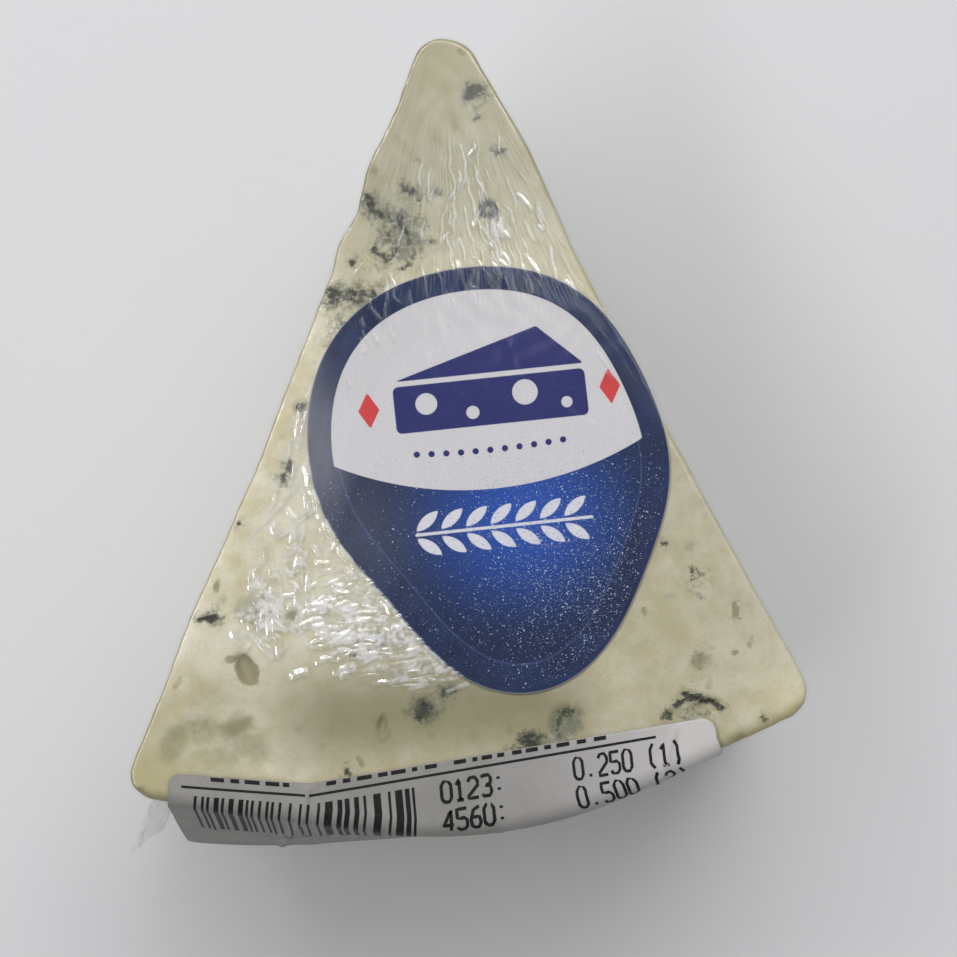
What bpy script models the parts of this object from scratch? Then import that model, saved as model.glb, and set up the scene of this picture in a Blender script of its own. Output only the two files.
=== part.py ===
"""Film-wrapped wedge of blue-veined cheese, lying on its flat cut face.

Metres, +Z up. +Y runs from the rind towards the point of the wedge, and the
origin is the middle of the underside of the whole object's box.
"""

import math

import bmesh
import bpy
import numpy as np
from mathutils import Vector

MM = 0.001

# Driving dimensions of the wedge
THICKNESS = 46 * MM
RIM_RADIUS = 1.5 * MM

# The plan's four sides meet at these points, counter-clockwise from the point of the
# wedge, and each meeting is rounded: the third one is the wide bend of the rind.
PLAN_CORNERS = np.array([(-1.2, 53.6), (-39.2, -31.1), (1.2, -38.4), (34.6, -25.7)]) * MM
PLAN_RADII = np.array([3.9, 3.0, 50.0, 3.5]) * MM
SIDE_STEPS = (36, 4, 4, 20)
ARC_STEPS = (9, 7, 15, 7)

# The film draws both cut sides in a little, and each also has low swells: distance from
# the point of the wedge, height and spread in mm.
SIDE_BOW = 0.5 * MM
LEFT_SWELLS = ((14, -0.15, 1.4), (21, 0.5, 2.8), (26.5, -0.2, 1.2), (30.5, 0.4, 2.0), (55, -0.2, 4), (73, 0.3, 6))
RIGHT_SWELLS = ((20, 0.75, 9),)
WALL_WAVE = 0.25 * MM
WALL_LEVELS = 6
RIM_STEPS = 3

# Open pockets in the top face: centre, length, width and depth in mm, and turn in degrees
POCKETS = (
    (-25.3, -18.5, 4.2, 2.0, 0.7, 110),
    (-11.4, -25.2, 2.2, 1.1, 0.6, 75),
    (-6.8, -23.2, 2.8, 1.9, 0.4, 20),
    (7.2, -25.8, 4.2, 2.6, 0.5, 60),
    (22.3, -25.2, 4.2, 1.8, 0.6, 12),
)

# Printed sheets: the real film lies between them and the cheese
SHEET = 0.25 * MM
GAP = 0.3 * MM

# Front label: its radius at every 30 degrees, clockwise from its top
LABEL_CENTRE = np.array([1.5, 1.2]) * MM
LABEL_RADII = np.array([21.4, 20.8, 18.9, 18.7, 19.0, 22.2, 23.7, 19.1, 17.7, 19.0, 20.9, 21.8]) * MM
LABEL_RINGS = (1.0, 0.965, 0.93, 0.89, 0.84, 0.6, 0.25)
LABEL_STEPS = 72

# Price sticker: it starts on the top face and is folded down over the rind
STICKER_HEIGHT = 30 * MM
STICKER_CORNER = 1.6 * MM
STICKER_TOP_LEFT = np.array([-34.1, -28.9]) * MM
STICKER_TOP_KINK = np.array([-19.2, -30.8]) * MM
STICKER_TOP_RIGHT = np.array([23.2, -26.2]) * MM
STICKER_FOLD_LEFT = -34.0 * MM
STICKER_FOLD_KINK = -19.6 * MM
STICKER_FOLD_RIGHT = 23.8 * MM
STICKER_FLARE = math.radians(11)
STICKER_LOOSE = 35 * MM
STICKER_COLUMNS = 34
FLAP_ROWS = 9

# Loose ear of film at the left corner, standing out from the wall
EAR_FOOT = 20 * MM
EAR_HEAD = 41 * MM
EAR_REACH = 6.5 * MM
EAR_WAVE = 0.7 * MM
EAR_DIRECTION = math.radians(245)
EAR_ROWS = 9
EAR_COLUMNS = 5


def unit(vector):
    return vector / np.linalg.norm(vector)


def plan_outline(inset=0.0):
    """Plan points of the wedge's rounded outline, moved inwards, with their outward normals."""
    sides = np.roll(PLAN_CORNERS, -1, axis=0) - PLAN_CORNERS
    outward = [unit(np.array([side[1], -side[0]])) for side in sides]
    arcs = []
    for i, corner in enumerate(PLAN_CORNERS):
        middle = unit(outward[i - 1] + outward[i])
        centre = corner - middle * PLAN_RADII[i] / (middle @ outward[i])
        first = math.atan2(outward[i - 1][1], outward[i - 1][0])
        turn = first + math.acos(outward[i - 1] @ outward[i]) * np.linspace(0, 1, ARC_STEPS[i])
        normal = np.column_stack([np.cos(turn), np.sin(turn)])
        arcs.append((centre + normal * (PLAN_RADII[i] - inset), normal))
    points, normals = [], []
    for i, (arc, normal) in enumerate(arcs):
        next_arc = arcs[(i + 1) % len(arcs)][0]
        part = np.linspace(0, 1, SIDE_STEPS[i] + 1)[1:-1, None]
        points += [arc, arc[-1] + (next_arc[0] - arc[-1]) * part]
        normals += [normal, np.tile(outward[i], (len(part), 1))]
    return np.concatenate(points), np.concatenate(normals)


def drawn_in(points, normals):
    """How far each plan point lies inside the straight cut sides, 0 along the rind."""
    inwards = np.zeros(len(points))
    for corner, swells in ((1, LEFT_SWELLS), (3, RIGHT_SWELLS)):
        side = PLAN_CORNERS[corner] - PLAN_CORNERS[0]
        length = np.linalg.norm(side)
        down = np.clip((points - PLAN_CORNERS[0]) @ side / length**2, 0, 1)
        outward = np.array([side[1], -side[0]]) * (1 if corner == 1 else -1) / length
        depth = SIDE_BOW * np.sin(math.pi * down)
        for place, height, spread in swells:
            depth -= height * MM * np.exp(-(((down * length / MM - place) / spread) ** 2))
        inwards += depth * np.clip(normals @ outward, 0, 1) ** 8
    return inwards


def wall_wave(points, height):
    """Low waves of the hand-cut walls, fading out at the top and the underside."""
    swell = np.sin(points[:, 0] / (9 * MM) + 1.0) * np.cos(points[:, 1] / (13 * MM))
    return WALL_WAVE * swell * math.sin(math.pi * height / THICKNESS)


def ring(inset, height):
    """One level of the wedge's side as a closed ring of points."""
    points, normals = plan_outline(inset)
    outward = wall_wave(points, height) - drawn_in(points, normals)
    moved = points + normals * outward[:, None]
    return np.column_stack([moved, np.full(len(moved), height)])


def wedge_rings():
    """Rings from the underside's edge, round the bottom rim, up the wall and round the top rim."""
    turns = np.linspace(0, math.pi / 2, RIM_STEPS + 1)
    rings = [ring(RIM_RADIUS * (1 - math.sin(a)), RIM_RADIUS * (1 - math.cos(a))) for a in turns]
    rings += [ring(0, z) for z in np.linspace(RIM_RADIUS, THICKNESS - RIM_RADIUS, WALL_LEVELS)[1:-1]]
    rings += [
        ring(RIM_RADIUS * (1 - math.cos(a)), THICKNESS - RIM_RADIUS * (1 - math.sin(a)))
        for a in turns
    ]
    return np.array(rings)


def add_object(name, mesh, collection, parent):
    created = bpy.data.objects.new(name, mesh)
    collection.objects.link(created)
    created.parent = parent
    return created


def grid_mesh(name, rows, closed=False, ends=False):
    """Mesh over rows of points, joined round when closed, with its first and last row filled by ends."""
    count, width = rows.shape[:2]
    built = bmesh.new()
    verts = [[built.verts.new(point) for point in row] for row in rows]
    for i in range(count - 1):
        for j in range(width if closed else width - 1):
            k = (j + 1) % width
            built.faces.new((verts[i][j], verts[i][k], verts[i + 1][k], verts[i + 1][j]))
    if ends:
        built.faces.new(verts[0][::-1])
        built.faces.new(verts[-1])
    mesh = bpy.data.meshes.new(name)
    built.to_mesh(mesh)
    built.free()
    mesh.set_sharp_from_angle(angle=math.radians(40))
    return mesh


def material(name, colour, roughness, transmission=0.0):
    created = bpy.data.materials.new(name)
    created.use_nodes = True
    shader = created.node_tree.nodes["Principled BSDF"]
    shader.inputs["Base Color"].default_value = (*colour, 1.0)
    shader.inputs["Roughness"].default_value = roughness
    shader.inputs["Metallic"].default_value = 0.0
    shader.inputs["Transmission Weight"].default_value = transmission
    return created


def add_pocket_cutter(place, collection, parent):
    """Flattened ball whose lower half cuts one pocket into the top face."""
    x, y, length, width, depth, turn = place
    ball = bmesh.new()
    bmesh.ops.create_uvsphere(ball, u_segments=14, v_segments=8, radius=1.0)
    mesh = bpy.data.meshes.new("pocket_cutter")
    ball.to_mesh(mesh)
    ball.free()
    cutter = add_object("pocket_cutter", mesh, collection, parent)
    cutter.location = (x * MM, y * MM, THICKNESS)
    cutter.rotation_euler = (0, 0, math.radians(turn))
    cutter.scale = (length / 2 * MM, width / 2 * MM, depth * MM)
    cutter.hide_render = True
    cutter.display_type = "WIRE"
    return cutter


def build_wedge(collection, cutters, parent):
    """The cheese inside its tight film, as one solid."""
    mesh = grid_mesh("wrapped_cheese", wedge_rings(), closed=True, ends=True)
    wedge = add_object("wrapped_cheese", mesh, collection, parent)
    wedge.data.materials.append(material("wrapped_cheese", (0.55, 0.51, 0.36), 0.35))
    for place in POCKETS:
        cut = wedge.modifiers.new("pocket", "BOOLEAN")
        cut.operation = "DIFFERENCE"
        cut.object = add_pocket_cutter(place, cutters, parent)
    return wedge


def rim_drop(depth_outside):
    """How far a sheet that follows the top rim lies below the top, by its distance past the rim's start."""
    radius = RIM_RADIUS + GAP
    past = np.clip(depth_outside, 0, 0.9 * radius)
    return radius - np.sqrt(radius**2 - past**2)


def distance_past_rim(points):
    """Distance of plan points beyond the line where the right cut side's rim starts to turn down."""
    side = PLAN_CORNERS[0] - PLAN_CORNERS[3]
    outward = unit(np.array([side[1], -side[0]]))
    return (points - PLAN_CORNERS[3]) @ outward + RIM_RADIUS


def label_radius(angle):
    """Radius of the front label at a clockwise angle from its top: the smooth closed curve of its radii."""
    waves = np.fft.rfft(LABEL_RADII) / len(LABEL_RADII)
    radius = np.full_like(angle, waves[0].real)
    for k in range(1, len(waves)):
        share = 1 if 2 * k == len(LABEL_RADII) else 2
        radius += share * (waves[k] * np.exp(1j * k * angle)).real
    return radius


def build_front_label(collection, parent):
    """Thin label on the top face, its right edge bent down over the rim."""
    angle = np.linspace(0, 2 * math.pi, LABEL_STEPS, endpoint=False)[::-1]
    spokes = np.column_stack([np.sin(angle), np.cos(angle)]) * label_radius(angle)[:, None]
    rows = []
    for part in LABEL_RINGS:
        plan = LABEL_CENTRE + spokes * part
        rows.append(np.column_stack([plan, THICKNESS + GAP - rim_drop(distance_past_rim(plan))]))
    mesh = grid_mesh("front_label", np.array(rows), closed=True)
    fill_last_row(mesh, len(angle))
    label = add_object("front_label", mesh, collection, parent)
    label.data.materials.append(material("front_label", (0.03, 0.06, 0.22), 0.4))
    add_thickness(label)
    return label


def fill_last_row(mesh, width):
    """Closes the open middle of a round sheet."""
    built = bmesh.new()
    built.from_mesh(mesh)
    built.verts.ensure_lookup_table()
    built.faces.new(built.verts[-width:])
    bmesh.ops.recalc_face_normals(built, faces=built.faces)
    if built.faces[0].normal.z < 0:
        bmesh.ops.reverse_faces(built, faces=built.faces)
    built.to_mesh(mesh)
    built.free()


def add_thickness(sheet):
    solid = sheet.modifiers.new("thickness", "SOLIDIFY")
    solid.thickness = SHEET
    solid.offset = 1.0


def fold_line():
    """Plan points and outward normals along the fold over the rind, at even steps of its length."""
    points, normals = plan_outline()
    points = points - normals * drawn_in(points, normals)[:, None]
    rind = (normals[:, 1] < 0) & (np.abs(normals[:, 0]) < 0.8)
    points, normals = points[rind], normals[rind]
    run = np.concatenate([[0], np.cumsum(np.linalg.norm(np.diff(points, axis=0), axis=1))])
    ends = np.interp([STICKER_FOLD_LEFT, STICKER_FOLD_KINK, STICKER_FOLD_RIGHT], points[:, 0], run)
    even = ends[0] + (ends[2] - ends[0]) * (1 - np.cos(np.linspace(0, math.pi, STICKER_COLUMNS))) / 2
    place = np.column_stack([np.interp(even, run, points[:, i]) for i in (0, 1)])
    normal = np.column_stack([np.interp(even, run, normals[:, i]) for i in (0, 1)])
    normal /= np.linalg.norm(normal, axis=1)[:, None]
    return place, normal, even - ends[0], ends[1] - ends[0]


def build_price_sticker(collection, parent):
    """Paper sticker from the top face over the rind's rim and down the wall, its left part standing off."""
    fold, normal, across, kink = fold_line()
    width = across[-1]
    top = np.column_stack([
        np.interp(across, [0, kink, width], [STICKER_TOP_LEFT[i], STICKER_TOP_KINK[i], STICKER_TOP_RIGHT[i]])
        for i in (0, 1)
    ])
    start = fold - normal * RIM_RADIUS
    on_top = np.linalg.norm(start - top, axis=1)
    to_end = np.clip(np.minimum(across, width - across), 0, STICKER_CORNER)
    trim = STICKER_CORNER - np.sqrt(STICKER_CORNER**2 - (STICKER_CORNER - to_end) ** 2)
    flare = math.tan(STICKER_FLARE) * np.clip(1 - across / STICKER_LOOSE, 0, 1) ** 0.7
    radius = RIM_RADIUS + GAP
    turn = radius * math.pi / 2
    rows = []
    for part in (0.0, 0.35, 0.7, 1.0):
        share = np.clip(trim / on_top, 0, 1)
        share = share + (1 - share) * part
        plan = top + (start - top) * share[:, None]
        rows.append(np.column_stack([plan, np.full(len(plan), THICKNESS + GAP)]))
    for angle in np.linspace(0, math.pi / 2, 5)[1:]:
        plan = start + normal * radius * math.sin(angle)
        rows.append(np.column_stack([plan, np.full(len(plan), THICKNESS - RIM_RADIUS + radius * math.cos(angle))]))
    length = STICKER_HEIGHT - on_top - turn - trim
    for part in np.linspace(0, 1, FLAP_ROWS)[1:]:
        drop = length * part
        height = THICKNESS - RIM_RADIUS - drop
        wave = np.array([wall_wave(fold[i : i + 1], height[i])[0] for i in range(len(fold))])
        plan = fold + normal * (GAP + np.maximum(wave, 0) + flare * drop)[:, None]
        rows.append(np.column_stack([plan, height]))
    mesh = grid_mesh("price_sticker", np.array(rows)[:, ::-1])
    sticker = add_object("price_sticker", mesh, collection, parent)
    sticker.data.materials.append(material("price_sticker", (0.62, 0.62, 0.62), 0.5))
    add_thickness(sticker)
    return sticker


def build_film_ear(collection, parent):
    """Crumpled ear of spare film, a thin wavy fin standing out from the left corner's wall."""
    outward = np.array([math.cos(EAR_DIRECTION), math.sin(EAR_DIRECTION)])
    sideways = np.array([-outward[1], outward[0]])
    points, normals = plan_outline()
    root = points[np.argmax(normals @ outward)] + outward * (GAP + WALL_WAVE)
    rows = []
    for part in np.linspace(0, 1, EAR_ROWS):
        height = EAR_FOOT + (EAR_HEAD - EAR_FOOT) * part
        reach = EAR_REACH * (0.35 + 0.65 * math.sin(math.pi * part) ** 0.7)
        row = []
        for out in np.linspace(0, 1, EAR_COLUMNS):
            wave = EAR_WAVE * out * math.sin(5.5 * part + 2.2 * out)
            row.append((*(root + outward * reach * out + sideways * wave), height))
        rows.append(row)
    mesh = grid_mesh("film_ear", np.array(rows))
    ear = add_object("film_ear", mesh, collection, parent)
    ear.data.materials.append(material("film_ear", (0.9, 0.9, 0.9), 0.15, transmission=1.0))
    solid = ear.modifiers.new("thickness", "SOLIDIFY")
    solid.thickness = SHEET
    solid.offset = 0.0
    return ear


def centre_on_box(frame, objects):
    """Moves the whole object so that the middle of its box's underside is the origin."""
    bpy.context.view_layer.update()
    graph = bpy.context.evaluated_depsgraph_get()
    corners = []
    for part in objects:
        evaluated = part.evaluated_get(graph)
        corners += [evaluated.matrix_world @ Vector(corner) for corner in evaluated.bound_box]
    corners = np.array(corners)
    low, high = corners.min(axis=0), corners.max(axis=0)
    frame.location = (-(low[0] + high[0]) / 2, -(low[1] + high[1]) / 2, -low[2])


for existing in list(bpy.data.objects):
    bpy.data.objects.remove(existing)

parts = bpy.data.collections.new("cheese_wedge")
bpy.context.scene.collection.children.link(parts)
cutters = bpy.data.collections.new("cutters")
bpy.context.scene.collection.children.link(cutters)

frame = bpy.data.objects.new("frame", None)
parts.objects.link(frame)
pieces = [
    build_wedge(parts, cutters, frame),
    build_front_label(parts, frame),
    build_price_sticker(parts, frame),
    build_film_ear(parts, frame),
]
centre_on_box(frame, pieces)
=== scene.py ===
"""Looks of a film-wrapped wedge of blue-veined cheese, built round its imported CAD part.

Metres, +Z up, +Y towards the point of the wedge. Finer pieces in the same places replace the
wedge, the front label, the price sticker and the ear of film. Places on the top face are in mm
from the plan's own origin, and plan_shift brings them to the part.
"""

import math

import bpy
import numpy as np
from mathutils import Matrix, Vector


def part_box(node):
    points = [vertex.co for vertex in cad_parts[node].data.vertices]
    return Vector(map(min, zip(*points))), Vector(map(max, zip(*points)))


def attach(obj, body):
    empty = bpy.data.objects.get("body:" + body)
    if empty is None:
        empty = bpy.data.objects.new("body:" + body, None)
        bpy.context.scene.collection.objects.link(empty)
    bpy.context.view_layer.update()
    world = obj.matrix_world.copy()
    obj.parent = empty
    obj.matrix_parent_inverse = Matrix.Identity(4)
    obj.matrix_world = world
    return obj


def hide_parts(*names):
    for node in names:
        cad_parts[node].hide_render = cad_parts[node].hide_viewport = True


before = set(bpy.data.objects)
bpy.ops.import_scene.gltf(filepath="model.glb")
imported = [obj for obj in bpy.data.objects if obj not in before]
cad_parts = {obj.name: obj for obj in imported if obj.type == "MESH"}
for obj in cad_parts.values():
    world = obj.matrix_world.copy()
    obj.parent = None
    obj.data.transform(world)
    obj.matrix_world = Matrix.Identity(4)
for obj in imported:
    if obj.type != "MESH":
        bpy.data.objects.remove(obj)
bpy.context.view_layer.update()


# The cheese: a wedge cut by hand from a round of blue-veined cheese. It is ivory paste with
# grey-green mould in its holes, and a smooth yellower rind along the curved end.

MM = 0.001
THICKNESS = 46 * MM
RIM_RADIUS = 1.5 * MM

# Plan of the wedge, counter-clockwise from its point: where the sides meet, and how round
PLAN_CORNERS = np.array([(-1.2, 53.6), (-39.2, -31.1), (1.2, -38.4), (34.6, -25.7)]) * MM
PLAN_RADII = np.array([3.9, 3.0, 50.0, 3.5]) * MM
SIDE_BOW = 0.5 * MM
# Swells of the cut sides: distance down the side from the point, height and spread in mm
LEFT_SWELLS = (
    (14, -0.15, 1.4),
    (21, 0.5, 2.8),
    (26.5, -0.2, 1.2),
    (30.5, 0.4, 2.0),
    (55, -0.2, 4),
    (73, 0.3, 6),
)
RIGHT_SWELLS = ((20, 0.75, 9),)
WALL_WAVE = 0.25 * MM
SKIN_MIDDLE = np.array([1.5, 1.2]) * MM

# The knife left the upper rim sharper on the left side than on the right; the rind's is round
LEFT_RIM = 0.6 * MM
RIGHT_RIM = 0.9 * MM

PLAN_COLUMNS = 2400
CHEESE_INSET = 0.15 * MM
CHEESE_COLUMNS = 820

# Rows over the top face as shares of the way out, coarse under the label's middle and fine past
# it, then how many go round the upper rim, down the wall, round the lower rim and underneath
CHEESE_SHARES = np.concatenate([np.linspace(0, 0.34, 9)[1:], np.linspace(0.34, 1, 77)[1:]])
CHEESE_ROWS = (6, 22, 2, 6)

# Open pockets in the top face: centre, length, width and depth in mm, and turn in degrees
POCKETS = (
    (-25.3, -18.5, 4.2, 2.0, 0.7, 110),
    (-11.4, -25.2, 2.2, 1.1, 0.6, 75),
    (-6.8, -23.2, 2.8, 1.9, 0.4, 20),
    (7.2, -25.8, 4.2, 2.6, 0.5, 60),
    (22.3, -25.2, 4.2, 1.8, 0.6, 12),
)

# Blots in the top face: centre, length and width in mm, turn in degrees and strength
MOULD_BLOTS = (
    (1.8, 41.7, 2.3, 1.8, 33, 1.1),
    (2.1, 39.1, 1.1, 0.5, 72, 0.75),
    (4.1, 35.0, 2.0, 0.7, 1, 0.75),
    (-4.6, 34.2, 1.9, 0.8, -49, 0.35),
    (-5.5, 31.0, 2.6, 1.0, -45, 0.75),
    (-10.1, 30.2, 1.6, 1.0, -63, 0.9),
    (-12.2, 23.8, 0.9, 0.6, 48, 0.8),
    (-2.6, 30.9, 1.9, 0.9, -18, 0.5),
    (-12.3, 20.0, 5.9, 1.5, 1, 0.62),
    (-14.3, 20.1, 1.5, 1.3, -3, 0.85),
    (-13.2, 17.1, 1.9, 1.1, 58, 0.5),
    (-18.2, 8.5, 0.7, 0.6, -3, 0.9),
    (-20.0, 2.2, 1.6, 1.2, 77, 0.7),
    (-20.6, 1.1, 0.6, 0.5, -3, 0.8),
    (-25.3, -3.3, 0.5, 0.4, -3, 0.8),
    (-28.6, -13.2, 1.2, 0.6, 17, 0.95),
    (-13.8, -17.9, 1.2, 0.9, 17, 0.55),
    (-8.9, -16.2, 1.0, 0.6, -3, 0.5),
    (-15.3, -30.0, 0.7, 0.5, -3, 0.75),
    (-7.0, -24.0, 2.5, 2.1, 17, 0.95),
    (-4.4, -22.1, 1.8, 1.1, 22, 0.7),
    (3.8, -27.7, 3.1, 1.6, 5, 0.85),
    (8.1, -25.0, 1.3, 1.3, -3, 0.8),
    (22.3, -11.2, 1.2, 1.2, -3, 0.6),
    (28.2, -26.6, 0.4, 0.4, -3, 0.7),
    (18.4, -25.9, 1.5, 1.3, 60, 0.6),
    (20.5, -23.7, 0.5, 0.4, -3, 0.9),
    (19.1, -7.9, 0.9, 0.8, -3, 0.7),
)
VEIL_BLOTS = (
    (-6.9, 27.5, 7.1, 5.4, -63, 0.62),
    (-9.3, 21.2, 2.8, 1.5, 27, 0.5),
    (-25.0, -12.1, 3.1, 1.9, 27, 0.6),
    (-17.0, -13.1, 1.9, 1.0, 7, 0.55),
    (-19.2, -14.5, 2.1, 1.2, 27, 0.45),
    (-11.0, -16.4, 2.1, 1.4, 17, 0.7),
    (-30.2, -24.2, 5.6, 2.3, 2, 0.5),
    (-29.7, -25.6, 4.1, 1.4, -3, 0.4),
    (-5.7, -23.1, 2.1, 0.8, 37, 0.7),
    (7.6, -26.3, 3.3, 2.0, 58, 0.9),
    (6.2, -27.6, 2.3, 1.0, -3, 0.7),
    (21.1, -25.7, 3.6, 1.7, -3, 0.6),
    (22.7, -13.6, 1.6, 1.0, -23, 0.7),
    (19.4, -13.4, 1.5, 0.7, -3, 0.5),
    (21.8, -8.3, 0.8, 0.6, -3, 0.7),
)
OLIVE_BLOTS = (
    (0.7, 40.4, 0.9, 0.5, 38, 0.7),
    (-9.4, 33.6, 1.3, 0.6, 12, 0.6),
    (-3.5, 25.7, 1.1, 0.7, -23, 0.8),
    (-18.5, -3.0, 1.5, 0.9, 7, 0.45),
    (-18.9, -5.3, 1.7, 0.9, -3, 0.35),
    (-27.6, -11.3, 1.7, 1.0, 57, 0.4),
    (-33.2, -25.8, 5.0, 2.8, 60, 0.55),
    (-30.5, -24.7, 5.5, 2.8, 0, 0.42),
    (-26.4, -24.6, 4.0, 2.4, 20, 0.8),
    (-25.4, -26.3, 5.5, 3.2, -35, 0.5),
    (-28.6, -27.4, 6.0, 2.6, 0, 0.34),
    (-19.1, -24.1, 1.4, 0.7, 57, 0.35),
    (-20.2, -25.2, 1.2, 0.6, 17, 0.35),
    (-16.7, -25.4, 1.4, 0.6, 57, 0.35),
    (-17.7, -27.1, 1.2, 0.6, 57, 0.35),
    (22.0, -20.4, 2.3, 1.8, 56, 0.75),
    (22.8, -22.8, 1.5, 0.7, 76, 0.45),
    (25.7, -28.7, 2.1, 1.0, 17, 0.5),
)
BROWN_BLOTS = (
    (0.7, 46.3, 1.7, 0.8, -15, 0.8),
    (-27.8, -9.8, 0.8, 1.5, -3, 0.5),
    (-20.2, -13.3, 1.5, 1.3, -3, 0.55),
    (-25.2, -18.7, 3.6, 1.9, -70, 0.95),
    (-26.9, -17.4, 1.5, 0.8, 8, 0.7),
    (-32.4, -19.6, 1.7, 0.6, 68, 0.4),
    (-11.9, -24.8, 1.5, 1.1, -3, 0.6),
    (-11.2, -26.1, 1.9, 1.3, 67, 0.75),
    (-13.9, -28.8, 0.9, 0.8, -3, 0.7),
    (-15.4, -28.9, 0.8, 0.6, -3, 0.4),
    (1.7, -26.4, 0.8, 0.7, -3, 0.6),
    (16.8, -15.0, 0.7, 0.5, -3, 0.5),
    (26.0, -15.2, 1.6, 0.5, 76, 0.65),
    (27.4, -18.7, 1.6, 0.6, 76, 0.4),
    (25.9, -19.5, 0.8, 0.4, -33, 0.6),
)
# Smoky clusters of fine mould that hold the darker spots and streaks
SMOKE_BLOTS = (
    (1.9, 41.2, 2.8, 2.2, 33, 0.7),
    (-6.6, 26.6, 6.8, 3.6, -60, 0.9),
    (-9.6, 29.6, 4.2, 2.2, -50, 0.8),
    (-9.0, 24.4, 3.4, 2.4, 0, 0.6),
    (-5.4, 31.2, 4.6, 1.8, -30, 0.6),
    (-12.5, 20.0, 7.6, 2.6, 0, 0.9),
    (-13.6, 16.8, 4.2, 3.0, 50, 0.6),
    (7.6, -26.3, 3.8, 2.3, 58, 1.0),
    (3.8, -27.8, 4.0, 2.0, 5, 0.9),
    (-6.9, -23.6, 3.4, 2.8, 20, 0.9),
    (-4.6, -22.2, 2.4, 1.6, 22, 0.8),
    (20.8, -25.8, 4.4, 1.8, 0, 0.6),
    (22.2, -20.6, 2.6, 2.2, 56, 0.5),
    (-28.9, -13.0, 2.6, 1.6, 10, 0.6),
    (22.4, -12.0, 1.8, 3.2, -10, 0.5),
    (26.2, -15.4, 1.2, 2.4, -10, 0.4),
    (-20.3, 1.6, 2.4, 1.8, 80, 0.6),
    (-23.6, -13.0, 4.2, 2.2, 25, 0.5),
    (-12.6, -16.8, 6.0, 2.0, 15, 0.55),
)
# Mould along cracks and round holes: points in mm, width in mm and strength
MOULD_STREAKS = (
    (((-10.1, 30.8), (-9.9, 29.7), (-9.3, 29.0), (-8.6, 28.3)), 0.63, 0.85),
    (((-6.9, 28.6), (-6.4, 27.2), (-5.9, 25.5)), 0.74, 0.85),
    (((-9.6, 25.7), (-9.5, 24.6), (-8.6, 24.0), (-7.5, 24.5), (-7.1, 25.4)), 0.42, 0.75),
    (((-5.3, 24.7), (-6.1, 23.5), (-7.2, 22.7)), 0.53, 0.55),
    (((-8.0, 29.8), (-7.7, 27.9), (-8.0, 26.0)), 0.53, 0.5),
    (((-4.7, 28.5), (-3.9, 27.1), (-3.8, 25.7)), 0.42, 0.4),
    (((-15.1, 20.7), (-13.0, 20.7), (-11.0, 20.4)), 0.53, 0.8),
    (((-29.8, -13.2), (-29.1, -13.2), (-28.4, -13.0)), 0.32, 0.95),
    (((19.3, -24.8), (20.4, -24.3), (21.8, -24.3), (23.0, -24.7), (24.0, -25.5)), 0.3, 0.9),
    (((2.8, -27.9), (4.0, -27.3), (5.0, -27.8)), 0.63, 0.8),
    (((6.8, -27.4), (7.2, -25.9), (8.2, -24.8)), 0.53, 0.6),
)
MOULD_RING = ((2.65, 28.8), 0.72, 0.55, 1.15)


def unit(vector):
    return vector / np.linalg.norm(vector, axis=-1, keepdims=True)


def soft_step(value):
    """0 below 0, 1 above 1, and a smooth climb between them."""
    value = np.clip(value, 0, 1)
    return value * value * (3 - 2 * value)


def plan_outline(columns):
    """Points at even steps round the wedge's plan, with their outward normals.

    Each corner is an arc that touches both its sides, and straight lines join the arcs.
    """
    sides = np.roll(PLAN_CORNERS, -1, axis=0) - PLAN_CORNERS
    outward = unit(np.column_stack([sides[:, 1], -sides[:, 0]]))
    points, normals = [], []
    for i, corner in enumerate(PLAN_CORNERS):
        middle = unit(outward[i - 1] + outward[i])
        centre = corner - middle * PLAN_RADII[i] / (middle @ outward[i])
        first = math.atan2(outward[i - 1][1], outward[i - 1][0])
        turn = first + math.acos(outward[i - 1] @ outward[i]) * np.linspace(0, 1, 60)
        normal = np.column_stack([np.cos(turn), np.sin(turn)])
        points.append(centre + normal * PLAN_RADII[i])
        normals.append(normal)
    points, normals = np.concatenate(points), np.concatenate(normals)
    points, normals = np.vstack([points, points[:1]]), np.vstack([normals, normals[:1]])
    run = np.concatenate([[0], np.cumsum(np.linalg.norm(np.diff(points, axis=0), axis=1))])
    even = np.linspace(0, run[-1], columns, endpoint=False)
    points = np.column_stack([np.interp(even, run, points[:, i]) for i in (0, 1)])
    normals = np.column_stack([np.interp(even, run, normals[:, i]) for i in (0, 1)])
    return points, unit(normals), even


def drawn_in(points, normals):
    """How far each plan point lies inside the straight cut sides, 0 along the rind."""
    inwards = np.zeros(len(points))
    for corner, swells in ((1, LEFT_SWELLS), (3, RIGHT_SWELLS)):
        side = PLAN_CORNERS[corner] - PLAN_CORNERS[0]
        length = np.linalg.norm(side)
        down = np.clip((points - PLAN_CORNERS[0]) @ side / length**2, 0, 1)
        outward = np.array([side[1], -side[0]]) * (1 if corner == 1 else -1) / length
        depth = SIDE_BOW * np.sin(math.pi * down)
        for place, height, spread in swells:
            depth -= height * MM * np.exp(-(((down * length / MM - place) / spread) ** 2))
        inwards += depth * np.clip(normals @ outward, 0, 1) ** 8
    return inwards


def wall_wave(points, height):
    """Low waves of the hand-cut walls, fading out at the top and the underside."""
    swell = np.sin(points[..., 0] / (9 * MM) + 1.0) * np.cos(points[..., 1] / (13 * MM))
    return WALL_WAVE * swell * np.sin(math.pi * height / THICKNESS)


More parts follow.
